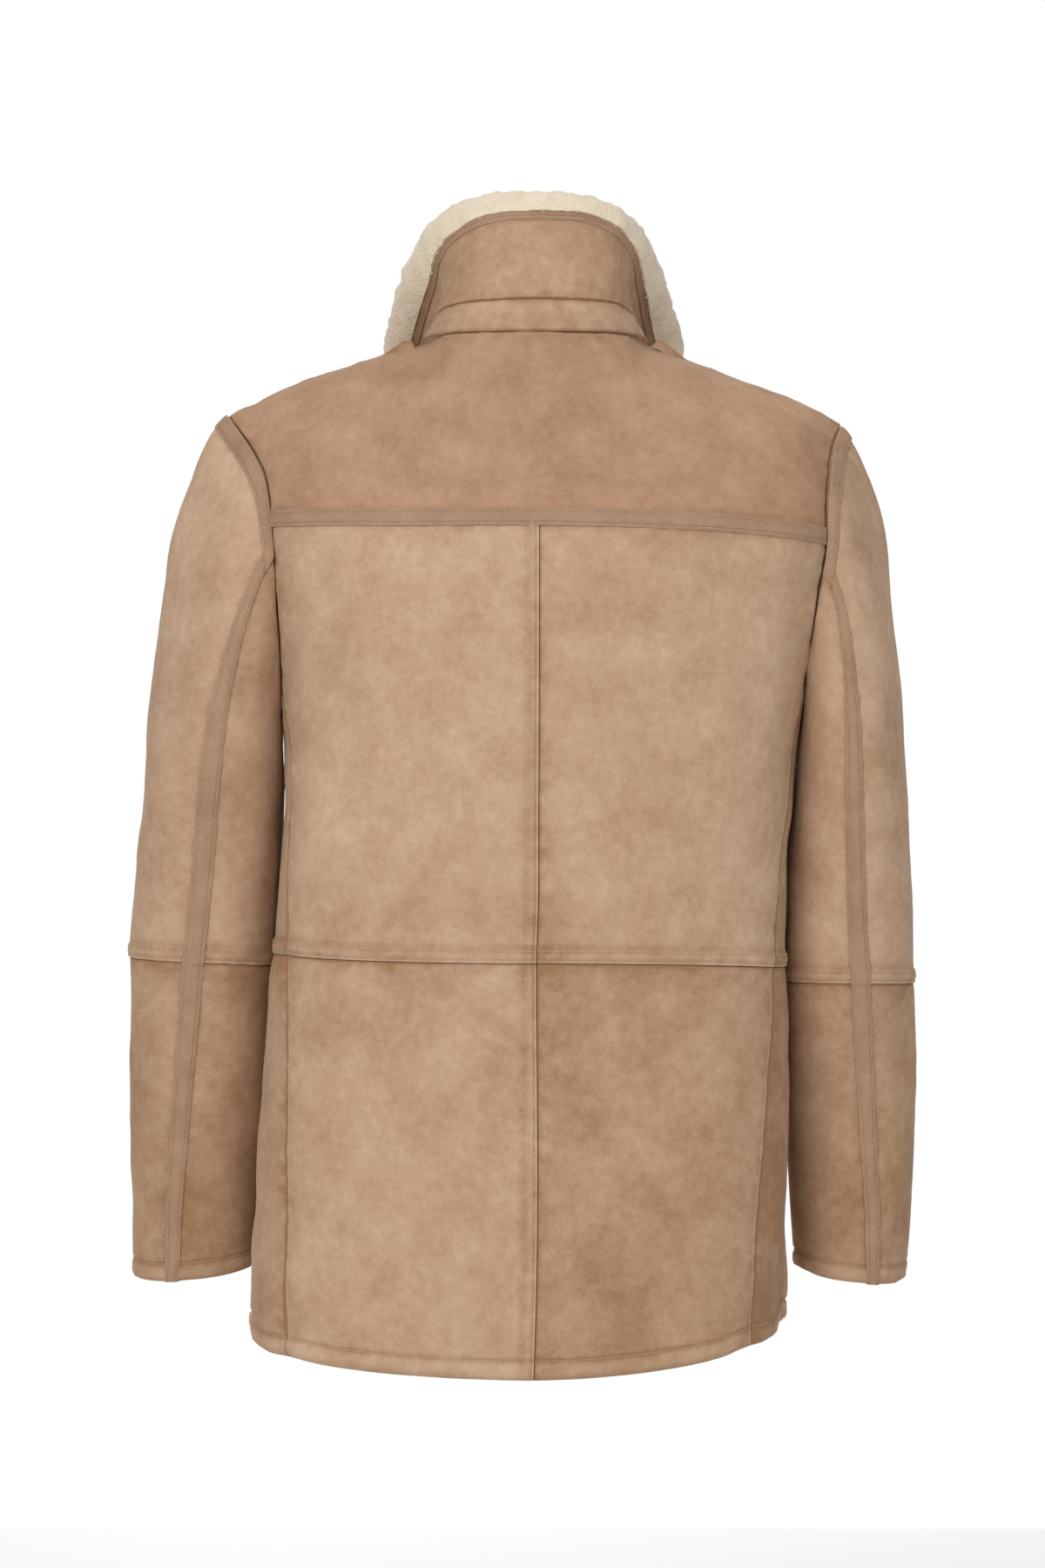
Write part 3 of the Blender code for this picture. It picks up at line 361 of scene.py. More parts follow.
# Half widths, depths and edge places of the body, from the hem up. An edge place is how far round
# from the side (0) to the centre line (1) the side-back and side-front seams or the armhole lie.
BODY = table(
    "height left right back front back_edge front_edge centre middle",
    (-790, 213.0, 184.5, 134.0, 140.0, 0.380, 0.300, 1.3, 10),
    (-700, 212.5, 187.0, 132.0, 138.0, 0.370, 0.290, -1.3, 13),
    (-600, 207.0, 190.5, 127.0, 134.0, 0.340, 0.270, -1.7, 15),
    (-540, 202.0, 192.0, 123.0, 132.0, 0.300, 0.250, -1.4, 15),
    (-475, 197.5, 190.3, 121.0, 131.0, 0.260, 0.230, -1.1, 14),
    (-430, 194.7, 190.3, 121.5, 131.0, 0.230, 0.210, -2.4, 12),
    (-380, 191.0, 191.6, 123.0, 132.0, 0.200, 0.190, -2.6, 8),
    (-330, 188.7, 197.5, 125.0, 134.0, 0.170, 0.165, -2.8, 3),
    (-290, 190.5, 202.0, 126.0, 135.0, 0.155, 0.155, -3.0, -1),
    (-266, 194.0, 207.0, 126.0, 135.0, 0.150, 0.150, -3.0, -3),
    (-238, 200.5, 215.5, 125.5, 134.0, 0.215, 0.220, -3.1, -4),
    (-205, 209.0, 227.5, 124.0, 131.0, 0.285, 0.290, -3.1, -5),
    (-168, 213.0, 236.0, 121.0, 126.0, 0.300, 0.290, -3.2, -5),
    (-141, 215.0, 237.0, 117.0, 120.0, 0.300, 0.275, -3.2, -5),
)

# The top line of the shoulders, outwards from the neck.
SHOULDER = table(
    "across left right",
    (88, -10.0, -10.0),
    (110, -15.5, -18.0),
    (140, -25.0, -30.0),
    (172, -36.0, -43.5),
    (200, -48.0, -55.0),
    (232, -63.0, -70.0),
)


def body_point(side, half, place, height):
    """A point of the body's surface. place is 0 at the side, 1 at the centre and over 1 past it; half is 1
    at the back and -1 at the front."""
    past = place > 1
    place = 2 - place if past else place
    side = -side if past else side
    width = along(BODY, named(side, "left", "right"), height)
    depth = along(BODY, named(half, "back", "front"), height)
    shift = along(BODY, "centre", height) if half > 0 else 0.0
    middle = along(BODY, "middle", height)
    rest = 1 - place
    near = rest**3 + 3 * place * rest**2
    far = 3 * place**2 * rest
    x = side * width * (near + FLAT_BACK * far) + shift * (far + place**3)
    y = middle + (half * depth - middle) * (3 * ROUND_SIDE * place * rest**2 + far + place**3)
    return np.array([x, y, height])


def edge_place(half, height):
    return along(BODY, named(half, "back_edge", "front_edge"), height)


# %% [markdown]
# Rows run round the coat and columns run down it. A row or column lies on every seam, so that each panel is
# a block of cells: row 5 is the yoke seam, row 19 the waist seam, row 27 the hem, column 19 the left
# side-back seam, column 30 the centre back and column 41 the right side-back seam.

# %% Rows and columns
# Rows of the body from the neck and shoulders to the waist: heights at the centre line and at the armhole
# or side panel's edge, with the yoke tape on rows 4 to 6 and the sleeve's back seam on row 8.
UPPER_ROWS = table(
    "row centre_back centre_front edge_left edge_right",
    (4, -138.5, -140, -137.5, -151.0),
    (5, -145.3, -148, -144.0, -157.5),
    (6, -152.0, -156, -150.5, -164.0),
    (7, -162.0, -165, -158.0, -171.0),
    (8, -174.0, -176, -165.5, -178.0),
    (9, -187.0, -189, -173.0, -185.0),
    (10, -213.0, -215, -205.0, -212.0),
    (11, -241.0, -243, -238.0, -240.0),
    (12, -272.0, -272, -266.0, -266.0),
)
TOP_ROWS = 4  # rows above the yoke tape, spread evenly up to the shoulder and neck
YOKE_ROW = 5
ARMPIT_ROW, WAIST_ROW, CORNER_ROW, HEM_ROW = 12, 19, 24, 27
JOINT_STEP = 6.0  # the cloth's direction at the yoke line is read over this height
UNDERARM = -290.0
# Rows from under the arm to the hem: heights at the centre back, centre front and the sides.
LOWER_ROWS = table(
    "row centre_back centre_front side_left side_right",
    (13, -312.0, -312, -315.0, -315.0),
    (14, -352.0, -352, -354.0, -354.0),
    (15, -392.0, -392, -392.0, -394.0),
    (16, -430.0, -430, -427.0, -434.0),
    (17, -464.5, -464, -458.5, -469.0),
    (18, -466.0, -466, -460.0, -471.0),
    (19, -475.0, -475, -469.5, -480.0),
    (20, -532.0, -531, -526.0, -533.0),
    (21, -592.0, -590, -585.0, -589.0),
    (22, -652.0, -648, -642.0, -642.0),
    (23, -707.0, -700, -692.0, -690.0),
    (24, -747.0, -737, -728.0, -724.0),
    (25, -767.0, -757, -742.0, -734.0),
    (26, -775.0, -765, -748.0, -740.0),
    (27, -781.5, -771, -755.0, -746.0),
)
HEM_SIDE_DROP = 9.0  # the hem falls this far from the vent's corner to the next column
# Places of the columns across the yoke line, from the neck's side to the centre.
BACK_LEFT_STEPS = (84, 64, 44, 24, 7.5, 6.3, -3.2)
BACK_RIGHT_STEPS = (84, 70, 56, 42, 28, 13, 3.2)
FRONT_STEPS = (84, 75, 66, 57, 47, 37, 27)
SHOULDER_CELLS = 5
SIDE_CELLS = 3
SHOULDER_PLACE = 0.5  # the shoulder seam's place round the collar
NECK_TURN = 0.25  # the columns turn from over the shoulder to down the neck within this place
COLLAR_ROWS = 7
# Columns, counted from the left front's edge round the back to the right front's edge.
COLLAR_END, NECK_FRONT, FRONT_EDGE, SIDE, BACK_EDGE, NECK_BACK, CENTRE = 2, 8, 13, 16, 19, 24, 30
LAST = 60
# Directions in which the body's columns leave the top, for the left half and the back.
EDGE_LEAVES = (-0.3, 0.85, -0.5)
SHOULDER_LEAVES = (0, 1, -0.08)
NECK_LEAVES = dict(back=(0, 0.5, -0.87), front=(0, 0.4, -0.92))
# The collar, from the centre back (0) past the shoulder seam (0.5) to its front end (1): the neck seam,
# the roll that pulls the collar's middle in or out, and the edge where the suede ends.
COLLAR = table(
    "round neck_x neck_y neck_z roll_left roll_right roll_y roll_z"
    " edge_left edge_right edge_y edge_z stand rim_left rim_right",
    (0.00, 0, 75, -5, 0, 0, 72, 45, 0, 0, 58, 88, 25, 14.5, 14.5),
    (0.15, 37, 70, -5, 36, 38, 66, 44, 35, 38, 52, 86, 24, 16.5, 15.0),
    (0.30, 66, 52, -5, 57, 61, 46, 38, 62, 67, 36, 74, 22, 21.0, 16.0),
    (0.42, 82, 24, -7, 54, 60, 12, 28, 76, 79, 10, 53, 19, 21.0, 17.0),
    (0.50, 88, 0, -10, 57, 62, -6, 22, 83, 84, -8, 37, 17, 20.5, 18.0),
    (0.60, 87, -24, -24, 62, 64, -30, 8, 90, 90, -30, 19, 15, 19.5, 18.0),
    (0.70, 80, -46, -42, 66, 66, -52, -8, 96, 94, -54, 2, 14, 18.0, 18.0),
    (0.85, 57, -76, -70, 62, 62, -90, -38, 101, 100, -90, -22, 12, 17.0, 17.0),
    (1.00, 28, -99, -92, 46, 46, -113, -78, 90, 90, -126, -58, 10, 14.0, 14.0),
)


def place_across(side, half, across, height):
    """The place whose point lies this far from the middle, measured towards the side."""
    places = np.linspace(0.05, 1, 96)
    widths = np.array([body_point(side, half, place, height)[0] * side for place in places])
    return np.interp(-across, -widths, places)


def column_shares(side, half, steps, height):
    """How far each column lies between the armhole's edge (0) and the centre (1)."""
    edge = edge_place(half, height)
    outside = body_point(side, half, edge, height)[0] * side
    shoulder = np.linspace(outside, JOINT_NECK_SIDE, SHOULDER_CELLS + 1)[:-1]
    places = [place_across(side, half, across, height) for across in (*shoulder, *steps)]
    return (np.array(places) - edge) / (1 - edge)


def neck_point(side, half, across):
    """A point of the neck seam: across runs from NECK_SIDE to the centre."""
    rounds = np.linspace(0, 0.5, 60) if half > 0 else np.linspace(0.5, 1, 60)
    widths = along(COLLAR, "neck_x", rounds)
    order = np.argsort(widths)
    at = float(np.interp(across, widths[order], rounds[order]))
    return np.array([side * across, along(COLLAR, "neck_y", at), along(COLLAR, "neck_z", at)]), at


def top_point(side, half, column, steps):
    """A column's start, on the shoulder seam or on the neck seam, and its place round the collar."""
    if column < SHOULDER_CELLS:
        across = between(SHOULDER_POINT, NECK_SIDE, column / SHOULDER_CELLS)
        height = along(SHOULDER, named(side, "left", "right"), across)
        depth = SHOULDER_DEPTH * (across - NECK_SIDE) / SHOULDER_POINT
        return np.array([side * across, depth, height]), SHOULDER_PLACE
    across = steps[column - SHOULDER_CELLS] * NECK_SIDE / JOINT_NECK_SIDE
    return neck_point(side, half, across)


def top_pull(side, half, column, collar_place):
    """The direction and strength with which a column leaves the shoulder or neck seam."""
    mirror = np.array([side, half, 1])
    if column == 0:
        return unit(np.array(EDGE_LEAVES) * mirror)
    over_shoulder = np.array(SHOULDER_LEAVES) * mirror
    if column <= SHOULDER_CELLS:
        return unit(over_shoulder) * between(1, SHOULDER_PULL, column / SHOULDER_CELLS)
    down_neck = np.array(NECK_LEAVES[named(half, "back", "front")]) * mirror
    turned = smooth(abs(collar_place - SHOULDER_PLACE) / NECK_TURN)
    return unit(between(over_shoulder, down_neck, turned))


def hem_drop(row):
    """How far a row lies below the straight line to the vent's corner, away from that corner."""
    return HEM_SIDE_DROP * smooth((row - CORNER_ROW) / (HEM_ROW - CORNER_ROW))


def quarter_point(side, half, share, height):
    edge = edge_place(half, height)
    return body_point(side, half, edge + (1 - edge) * share, height)


def body_columns(side, half, steps):
    """The rows of one quarter, from its armhole's edge to the centre, and each column's collar place."""
    centre_name = named(half, "centre_back", "centre_front")
    shares = column_shares(side, half, steps, UPPER_ROWS[centre_name][0])
    grid = np.full((HEM_ROW + 1, len(shares), 3), np.nan)
    collar_places = []
    for column, share in enumerate(shares):
        from_centre = abs(1 - share) ** ROW_BEND
        for i, row in enumerate(UPPER_ROWS["row"].astype(int)):
            middle = UPPER_ROWS[centre_name][i]
            edge = UPPER_ROWS[named(side, "edge_left", "edge_right")][i]
            grid[row, column] = quarter_point(side, half, share, between(middle, edge, from_centre))
        for i, row in enumerate(LOWER_ROWS["row"].astype(int)):
            middle = LOWER_ROWS[centre_name][i]
            side_height = LOWER_ROWS[named(side, "side_left", "side_right")][i]
            flank = between(middle, side_height, FLANK_SHARE) - hem_drop(row)
            grid[row, column] = quarter_point(side, half, share, between(middle, flank, from_centre))
        start, collar_place = top_point(side, half, min(column, SHOULDER_CELLS + len(steps) - 1), steps)
        collar_places.append(collar_place)
        joint = grid[TOP_ROWS, column]
        length = np.linalg.norm(joint - start)
        below = quarter_point(side, half, share, joint[2] - JOINT_STEP)
        pull = unit(below - joint) * length
        leave = top_pull(side, half, column, collar_place) * length
        for row in range(TOP_ROWS):
            grid[row, column] = hermite(start, leave, joint, pull, row / TOP_ROWS)
    return grid, collar_places


def side_columns(side, half):
    """The columns of the side panel between the seam's column and the side line, that one left out."""
    grid = np.full((HEM_ROW + 1, SIDE_CELLS, 3), np.nan)
    for column in range(SIDE_CELLS):
        share = column / SIDE_CELLS  # 0 on the side line
        edge_height = UPPER_ROWS[named(side, "edge_left", "edge_right")][-1]
        height = between(UNDERARM, edge_height, share**ARMPIT_BEND)
        grid[ARMPIT_ROW, column] = body_point(side, half, edge_place(half, height) * share, height)
        for i, row in enumerate(LOWER_ROWS["row"].astype(int)):
            flank = LOWER_ROWS[named(side, "side_left", "side_right")][i]
            middle = LOWER_ROWS[named(half, "centre_back", "centre_front")][i]
            height = between(flank, between(middle, flank, FLANK_SHARE), share)
            height -= hem_drop(row) * min(1, share * 2)
            grid[row, column] = body_point(side, half, edge_place(half, height) * share, height)
    return grid


def front_quarter(side):
    """A front quarter with its lap past the centre. The left one is raised to lie over the right one."""
    grid, places = body_columns(side, -1, FRONT_STEPS)
    lap = []
    for across in (0.0, -FRONT_LAP):
        column = np.full((HEM_ROW + 1, 3), np.nan)
        for row in range(HEM_ROW + 1):
            inner = grid[row, -1]
            column[row] = (side * across, inner[1], inner[2])
            if row >= TOP_ROWS:
                column[row, 1] = -along(BODY, "front", inner[2])
        lap.append(column)
    grid = np.concatenate([grid, np.stack(lap, axis=1)], axis=1)
    if side > 0:
        raised = smooth((LAP_NONE - grid[..., 0]) / (LAP_NONE - LAP_FULL))
        grid[..., 1] -= LAP_LIFT * raised
    return grid, places


def body_grid():
    """All the body's points, from the left front's edge round the back to the right front's edge."""
    halves = []
    rounds = []
    for side, steps in ((1, BACK_LEFT_STEPS), (-1, BACK_RIGHT_STEPS)):
        front, front_places = front_quarter(side)
        back, back_places = body_columns(side, 1, steps)
        sides = np.concatenate([side_columns(side, -1)[:, ::-1], side_columns(side, 1)[:, 1:]], axis=1)
        halves.append(np.concatenate([front[:, ::-1], sides, back], axis=1))
        rounds.append((front_places[::-1], back_places))
    grid = np.concatenate([halves[0], halves[1][:, -2::-1]], axis=1)
    return grid, rounds


def steps_along(grid, axis, closed=False):
    """The mean direction of the steps to a point's neighbours, along one axis of the grid."""
    lines = np.moveaxis(grid, axis, 0)
    ahead = np.nan_to_num(unit(np.diff(lines, axis=0)))
    total = np.zeros_like(lines)
    total[:-1] += ahead
    total[1:] += ahead
    if closed:
        across = unit(lines[0] - lines[-1])
        total[0] += across
        total[-1] += across
    return np.moveaxis(total, 0, axis)


def grid_normals(grid, closed=False):
    return unit(np.cross(steps_along(grid, 0), steps_along(grid, 1, closed)))


def mitre(point, wall, *normals):
    """The inner point where walls with these normals meet."""
    mean = unit(np.sum(normals, axis=0))
    lean = np.mean([np.dot(mean, normal) for normal in normals])
    return point - mean * wall / max(lean, MITRE_LEAST)


body, neck_places = body_grid()
directions = grid_normals(body)
inside = body - directions * WALL
print("body grid", body.shape[0], "rows", body.shape[1], "columns")

# %% [markdown]
# A set-in sleeve is a tube that starts at the armhole and hangs down beside the body, bent a little forward
# as an arm is. Its top follows the armhole exactly, point for point, so the two can be sewn together. The
# cap leaves the shoulder outwards and turns down; under the arm it lies against the body's side.

# %% Sleeves
SLEEVE_CLEAR = 1.3
SLEEVE_SQUARE = 2.25  # exponent of the sleeve's section
CLEAR_FROM = -265.0  # below this the sleeve is kept clear of the body
CLEAR_GROWTH = 0.3  # the clearance grows by this share of the way from the armhole
ARMHOLE_RISE, ARMHOLE_REACH = 0.55, 1.08  # how the seam's inner edge leans towards the armhole's rim
# The sleeves, from the cuff up: their inner and outer sides, the middle's depth, half the depth, and how
# far the seams are turned towards the outside.
SLEEVE = table(
    "height inner_left outer_left inner_right outer_right middle half_depth twist",
    (-725, 212.5, 306.5, 200.5, 285.0, -58, 48, 18),
    (-660, 207.5, 308.5, 195.0, 288.5, -51, 50, 15),
    (-600, 203.0, 309.5, 191.5, 290.0, -43, 53, 11),
    (-540, 199.0, 309.0, 190.0, 290.5, -35, 57, 8),
    (-470, 195.0, 307.0, 189.0, 289.5, -27, 61, 5),
    (-400, 191.0, 302.0, 192.0, 285.5, -19, 66, 2),
    (-340, 190.5, 296.5, 196.5, 281.5, -12, 70, 0),
)
# Angles round the sleeve of the points of the armhole: down its back edge, under the arm, up its front.
SLEEVE_ANGLES = (
    *(0, 13, 26, 39, 51, 61, 71, 81.5, 90, 98.5, 118, 138, 153),
    *(162, 171, 180, 189, 198, 207),
    *(222, 240, 256, 268, 278, 288, 298, 308, 320, 333, 346),
)
FRONT_SEAM = 20
CAP_CELLS = 4
BICEPS = -340.0
# Rows of the sleeve below the biceps: heights at the outer and inner side, as two for each sleeve.
ELBOW_ROW, CUFF_ROW = 11, 17
SLEEVE_ROWS = table(
    "row left_outer left_inner right_outer right_inner",
    (7, -384, -386, -390, -388),
    (8, -428, -432, -442, -438),
    (9, -464.5, -470.5, -484.5, -482.5),
    (10, -466.0, -472.0, -486.0, -484.0),
    (11, -474.0, -480.0, -494.0, -492.0),
    (12, -535, -540, -548, -546),
    (13, -592, -595, -602, -600),
    (14, -648, -648, -652, -650),
    (15, -701.5, -696.5, -703.5, -698.5),
    (16, -709.5, -704.5, -711.5, -706.5),
    (17, -716.5, -711.0, -719.5, -713.0),
)
CUFF_BACK_DROP = 7.0
# Directions in which the cap leaves the armhole, for the left sleeve.
CAP_STARTS = dict(
    top_left=(0.84, 0, -0.54),
    top_right=(0.74, 0, -0.67),
    back=(0.56, 0.25, -0.8),
    under=(0.06, 0, -1),
    front=(0.5, -0.3, -0.8),
)
CAP_START_PULL, CAP_END_PULL = 0.6, 1.05


def station(side, height, angle):
    """A point round the sleeve: 0 degrees is its outer side and 90 its back."""
    inner = along(SLEEVE, named(side, "inner_left", "inner_right"), height)
    outer = along(SLEEVE, named(side, "outer_left", "outer_right"), height)
    turned = np.radians(angle - along(SLEEVE, "twist", height))
    power = 2 / SLEEVE_SQUARE
    out, back = np.cos(turned), np.sin(turned)
    x = (inner + outer) / 2 + (outer - inner) / 2 * np.sign(out) * abs(out) ** power
    y = along(SLEEVE, "half_depth", height) * np.sign(back) * abs(back) ** power
    y += along(SLEEVE, "middle", height)
    return np.array([side * x, y, height])


def cap_start(side, angle):
    """The direction in which the sleeve leaves the armhole at this angle."""
    out, back = np.cos(np.radians(angle)), np.sin(np.radians(angle))
    top = named(side, "top_left", "top_right")
    ends = (CAP_STARTS[top if out > 0 else "under"], CAP_STARTS["back" if back > 0 else "front"])
    mixed = np.array(ends[0]) * out**2 + np.array(ends[1]) * back**2
    return unit(mixed * np.array([side, 1, 1]))


def clear_of_body(side, point, from_seam):
    """The point, moved out of the body's side where it would come too close to it."""
    if point[2] > CLEAR_FROM:
        return point
    depths, widths = [], []
    for half in (-1, 1):
        for place in np.linspace(0, 0.9, 19):
            at = body_point(side, half, place, point[2])
            depths.append(at[1])
            widths.append(at[0] * side)
    order = np.argsort(depths)
    least = np.interp(point[1], np.array(depths)[order], np.array(widths)[order])
    least += min(SLEEVE_CLEAR, CLEAR_GROWTH * from_seam)
    point[0] = side * max(point[0] * side, least)
    return point


def sleeve_row_height(side, row, angle):
    i = list(SLEEVE_ROWS["row"]).index(row)
    word = named(side, "left", "right")
    inner_share = (1 - np.cos(np.radians(angle))) / 2
    height = between(SLEEVE_ROWS[word + "_outer"][i], SLEEVE_ROWS[word + "_inner"][i], inner_share)
    return height - CUFF_BACK_DROP * max(0, np.sin(np.radians(angle))) * smooth((row - ELBOW_ROW) / 5)


def sleeve_grid(side, armhole):
    """Rows from the armhole to the cuff, with the armhole tape's edges on rows 0 and 2."""
    grid = np.zeros((CUFF_ROW + 1, len(armhole), 3))
    fine = np.linspace(0, 1, 60)[:, None]
    for column, (start, angle) in enumerate(zip(armhole, SLEEVE_ANGLES)):
        end = station(side, BICEPS, angle)
        length = np.linalg.norm(end - start)
        leave = cap_start(side, angle) * length * CAP_START_PULL
        arrive = unit(station(side, BICEPS - 8, angle) - end) * length * CAP_END_PULL
        curve = hermite(start, leave, end, arrive, fine)
        run = np.concatenate([[0], np.cumsum(np.linalg.norm(np.diff(curve, axis=0), axis=1))])
        wanted = [0, TAPE_HALF, *np.linspace(2 * TAPE_HALF, run[-1], CAP_CELLS + 1)]
        for row, distance in enumerate(wanted):
            point = np.array([np.interp(distance, run, curve[:, i]) for i in range(3)])
            grid[row, column] = clear_of_body(side, point, distance)
        for row in range(len(wanted), CUFF_ROW + 1):
            point = station(side, sleeve_row_height(side, row, angle), angle)
            grid[row, column] = clear_of_body(side, point, run[-1])
    return grid


def armhole_cells(side):
    """(row, column) in the body's grid of each point of the armhole."""
    back = BACK_EDGE if side > 0 else LAST - BACK_EDGE
    front = FRONT_EDGE if side > 0 else LAST - FRONT_EDGE
    step = -1 if side > 0 else 1
    down = [(row, back) for row in range(ARMPIT_ROW + 1)]
    under = [(ARMPIT_ROW, column) for column in range(back + step, front + step, step)]
    up = [(row, front) for row in range(ARMPIT_ROW - 1, 0, -1)]
    return down + under + up


def armhole_inner(point, centre, normals):
    """The inner point of the armhole seam. Under the arm the two walls lie back to back, and it goes up."""
    around = unit(np.array([0, *(point - centre)[1:]]))
    together = np.sum(normals, axis=0)
    return point - unit(together + ARMHOLE_RISE * around) * WALL * ARMHOLE_REACH


def collar_grid(base, places):
    """Rows from the neck seam up to the suede's edge, over the given neck points."""
    grid = np.zeros((COLLAR_ROWS, len(base), 3))
    fine = np.linspace(0, 1, 50)[:, None]
    for column, (start, place) in enumerate(zip(base, places)):
        side = 1 if start[0] > 0 else -1
        word = named(side, "left", "right")
        shift = start[0] if place == 0 else 0.0  # the centre back lies a little to one side
        read = {name: along(COLLAR, name, place) for name in COLLAR}
        roll = np.array([side * read["roll_" + word] + shift, read["roll_y"], read["roll_z"]])
        edge = np.array([side * read["edge_" + word] + shift, read["edge_y"], read["edge_z"]])
        curve = start * (1 - fine) ** 2 + roll * 2 * fine * (1 - fine) + edge * fine**2
        run = np.concatenate([[0], np.cumsum(np.linalg.norm(np.diff(curve, axis=0), axis=1))])
        fall_end = run[-1] - EDGE_TAPE
        wanted = (0, read["stand"] / 2, *np.linspace(read["stand"], fall_end, 4), run[-1])
        for row, distance in enumerate(wanted):
            grid[row, column] = [np.interp(distance, run, curve[:, i]) for i in range(3)]
    return grid


# %% [markdown]
# Where a sleeve, the body and the collar meet, their walls share one inner edge. Then the pieces butt
# together at the seam as sewn skins do, and no light comes through.

# %% Sleeves, collar and shared inner edges
SLEEVE_TURN = [(FRONT_SEAM + step) % len(SLEEVE_ANGLES) for step in range(len(SLEEVE_ANGLES) + 1)]
sleeves = {}
for side, word in ((1, "left"), (-1, "right")):
    back = np.arange(BACK_EDGE, NECK_BACK + 1)
    front = np.arange(FRONT_EDGE, NECK_FRONT - 1, -1)
    if side < 0:
        back, front = LAST - back, LAST - front
    for a, b in zip(back, front):
        inside[0, a] = inside[0, b] = mitre(body[0, a], WALL, directions[0, a], directions[0, b])
    cells = armhole_cells(side)
    loop = np.array([body[cell] for cell in cells])
    grid = sleeve_grid(side, loop)
    out = grid_normals(grid, closed=True) * side
    within = grid - out * SLEEVE_WALL
    for column, cell in enumerate(cells):
        meet = armhole_inner(loop[column], loop.mean(axis=0), (directions[cell], out[0, column]))
        within[0, column] = inside[cell] = meet
    inside[0, front[0]] = inside[0, back[0]] = within[0, 0]
    sleeves[word] = grid, within

left, right = neck_places
collar_columns = [*range(COLLAR_END, NECK_FRONT + 1), *range(NECK_BACK + 1, LAST - NECK_BACK + 1)]
collar_columns += range(LAST - NECK_FRONT + 1, LAST - COLLAR_END + 1)
steps = NECK_FRONT - COLLAR_END
places = [*left[0][:steps + 1], *left[1][SHOULDER_CELLS + 1 :], *right[1][-2 : SHOULDER_CELLS - 1 : -1]]
places += right[0][steps - 1 :: -1]
neck_line = body[0, collar_columns]
collar = collar_grid(neck_line, places)
collar_out = -grid_normals(collar)
collar_inside = collar - collar_out * COLLAR_WALL
for i, column in enumerate(collar_columns):
    meet = mitre(neck_line[i], WALL, directions[0, column], collar_out[0, i])
    collar_inside[0, i] = inside[0, column] = meet
inside[0, NECK_BACK] = inside[0, NECK_FRONT]
inside[0, LAST - NECK_FRONT] = inside[0, LAST - NECK_BACK]
rims = [
    along(COLLAR, named(start[0], "rim_left", "rim_right"), place) for start, place in zip(neck_line, places)
]
print("armhole", round(np.linalg.norm(np.diff(loop, axis=0), axis=1).sum()), "mm round")

# %% [markdown]
# The tables give a point every few centimetres. `Cloth` fills in between them with smooth curves, closer
# together beside the seams, where the cloth changes most. It then lays slow waves and a few creases over the
# surface: a filled-out coat isn't quite even, because skin stretches more in some places than in others.

# %% Fine cloth
CELL, SEAM_CELL = 5.0, 1.6


def knot_slopes(lines, knots):
    """The rate of change at each knot. Beside a missing neighbour only the other one counts."""
    gaps = np.diff(knots).reshape(-1, *[1] * (lines.ndim - 1))
    rates = np.diff(lines, axis=0) / gaps
    before = np.concatenate([rates[:1], rates])
    after = np.concatenate([rates, rates[-1:]])
    gap_before = np.concatenate([gaps[:1], gaps])
    gap_after = np.concatenate([gaps, gaps[-1:]])
    before = np.where(np.isnan(before), after, before)
    after = np.where(np.isnan(after), before, after)
    return (before * gap_after + after * gap_before) / (gap_before + gap_after)


def spots(length, close_start, close_end):
    """Shares of the way along one cell, closer together within these distances of its two ends."""
    at = 0.0
    made = []
    while at < length - SEAM_CELL * 0.6:
        made.append(at / length)
        near = at < close_start - 0.1 or length - at < close_end + CELL * 0.5
        at += SEAM_CELL if near else CELL
    return made


class Cloth:
    """Fine points of one surface, with the way out at each and the wall's inner side."""

    def __init__(self, outer, inner, rows, columns, close_rows, close_columns, wave_seed):
        both = np.concatenate([outer, inner], axis=-1)
        both, row_at = self.finer(both, 0, rows, close_rows)
        both, column_at = self.finer(both, 1, columns, close_columns)
        outer, inner = both[..., :3], both[..., 3:]
        self.flat = outer
        self.out = grid_normals(outer)
        self.row_at, self.column_at = row_at, column_at
        lift = 1.0 * waves(outer, 120, wave_seed) + 0.5 * waves(outer, 48, wave_seed + 1)
        lift += 0.12 * waves(outer, 16, wave_seed + 2)
        lift += creases(outer)
        self.points = outer + self.out * lift[..., None]
        self.inner = inner + self.out * (lift + 0.4 * waves(outer, 20, wave_seed + 3))[..., None]

    def finer(self, grid, axis, kept, close):
        lines = np.moveaxis(grid, axis, 0)[kept]
        lengths = np.nanmean(np.linalg.norm(np.diff(lines[..., :3], axis=0), axis=-1), axis=1)
        knots = np.concatenate([[0], np.cumsum(lengths)])
        slopes = knot_slopes(lines, knots)
        made, at = [], []
        for i, width in enumerate(lengths):
            after_start = close.get(kept[i], (0, 0))[1]
            before_end = close.get(kept[i + 1], (0, 0))[0]
            for share in spots(width, after_start, before_end):
                curve = hermite(lines[i], slopes[i] * width, lines[i + 1], slopes[i + 1] * width, share)
                made.append(curve if share > 0 else lines[i])
                at.append(kept[i] + share * (kept[i + 1] - kept[i]))
        made.append(lines[-1])
        at.append(kept[-1])
        return np.moveaxis(np.array(made), 0, axis), np.array(at)

    def block(self, rows, columns):
        """The slices of the cells from one row and column to another."""
        first, last = np.searchsorted(self.row_at, rows)
        start, end = np.searchsorted(self.column_at, columns)
        return slice(first, last + 1), slice(start, end + 1)


def waves(points, length, seed, count=16):
    """Smooth random waves about this long, mostly from -1 to 1."""
    chance = np.random.default_rng(seed)
    total = np.zeros(points.shape[:-1])
    for _ in range(count):
        way = unit(chance.normal(size=3))
        turns = 2 * np.pi / (length * chance.uniform(0.7, 1.5))
        total += np.sin(points @ way * turns + chance.uniform(0, 2 * np.pi))
    return total * np.sqrt(2 / count) * 0.7


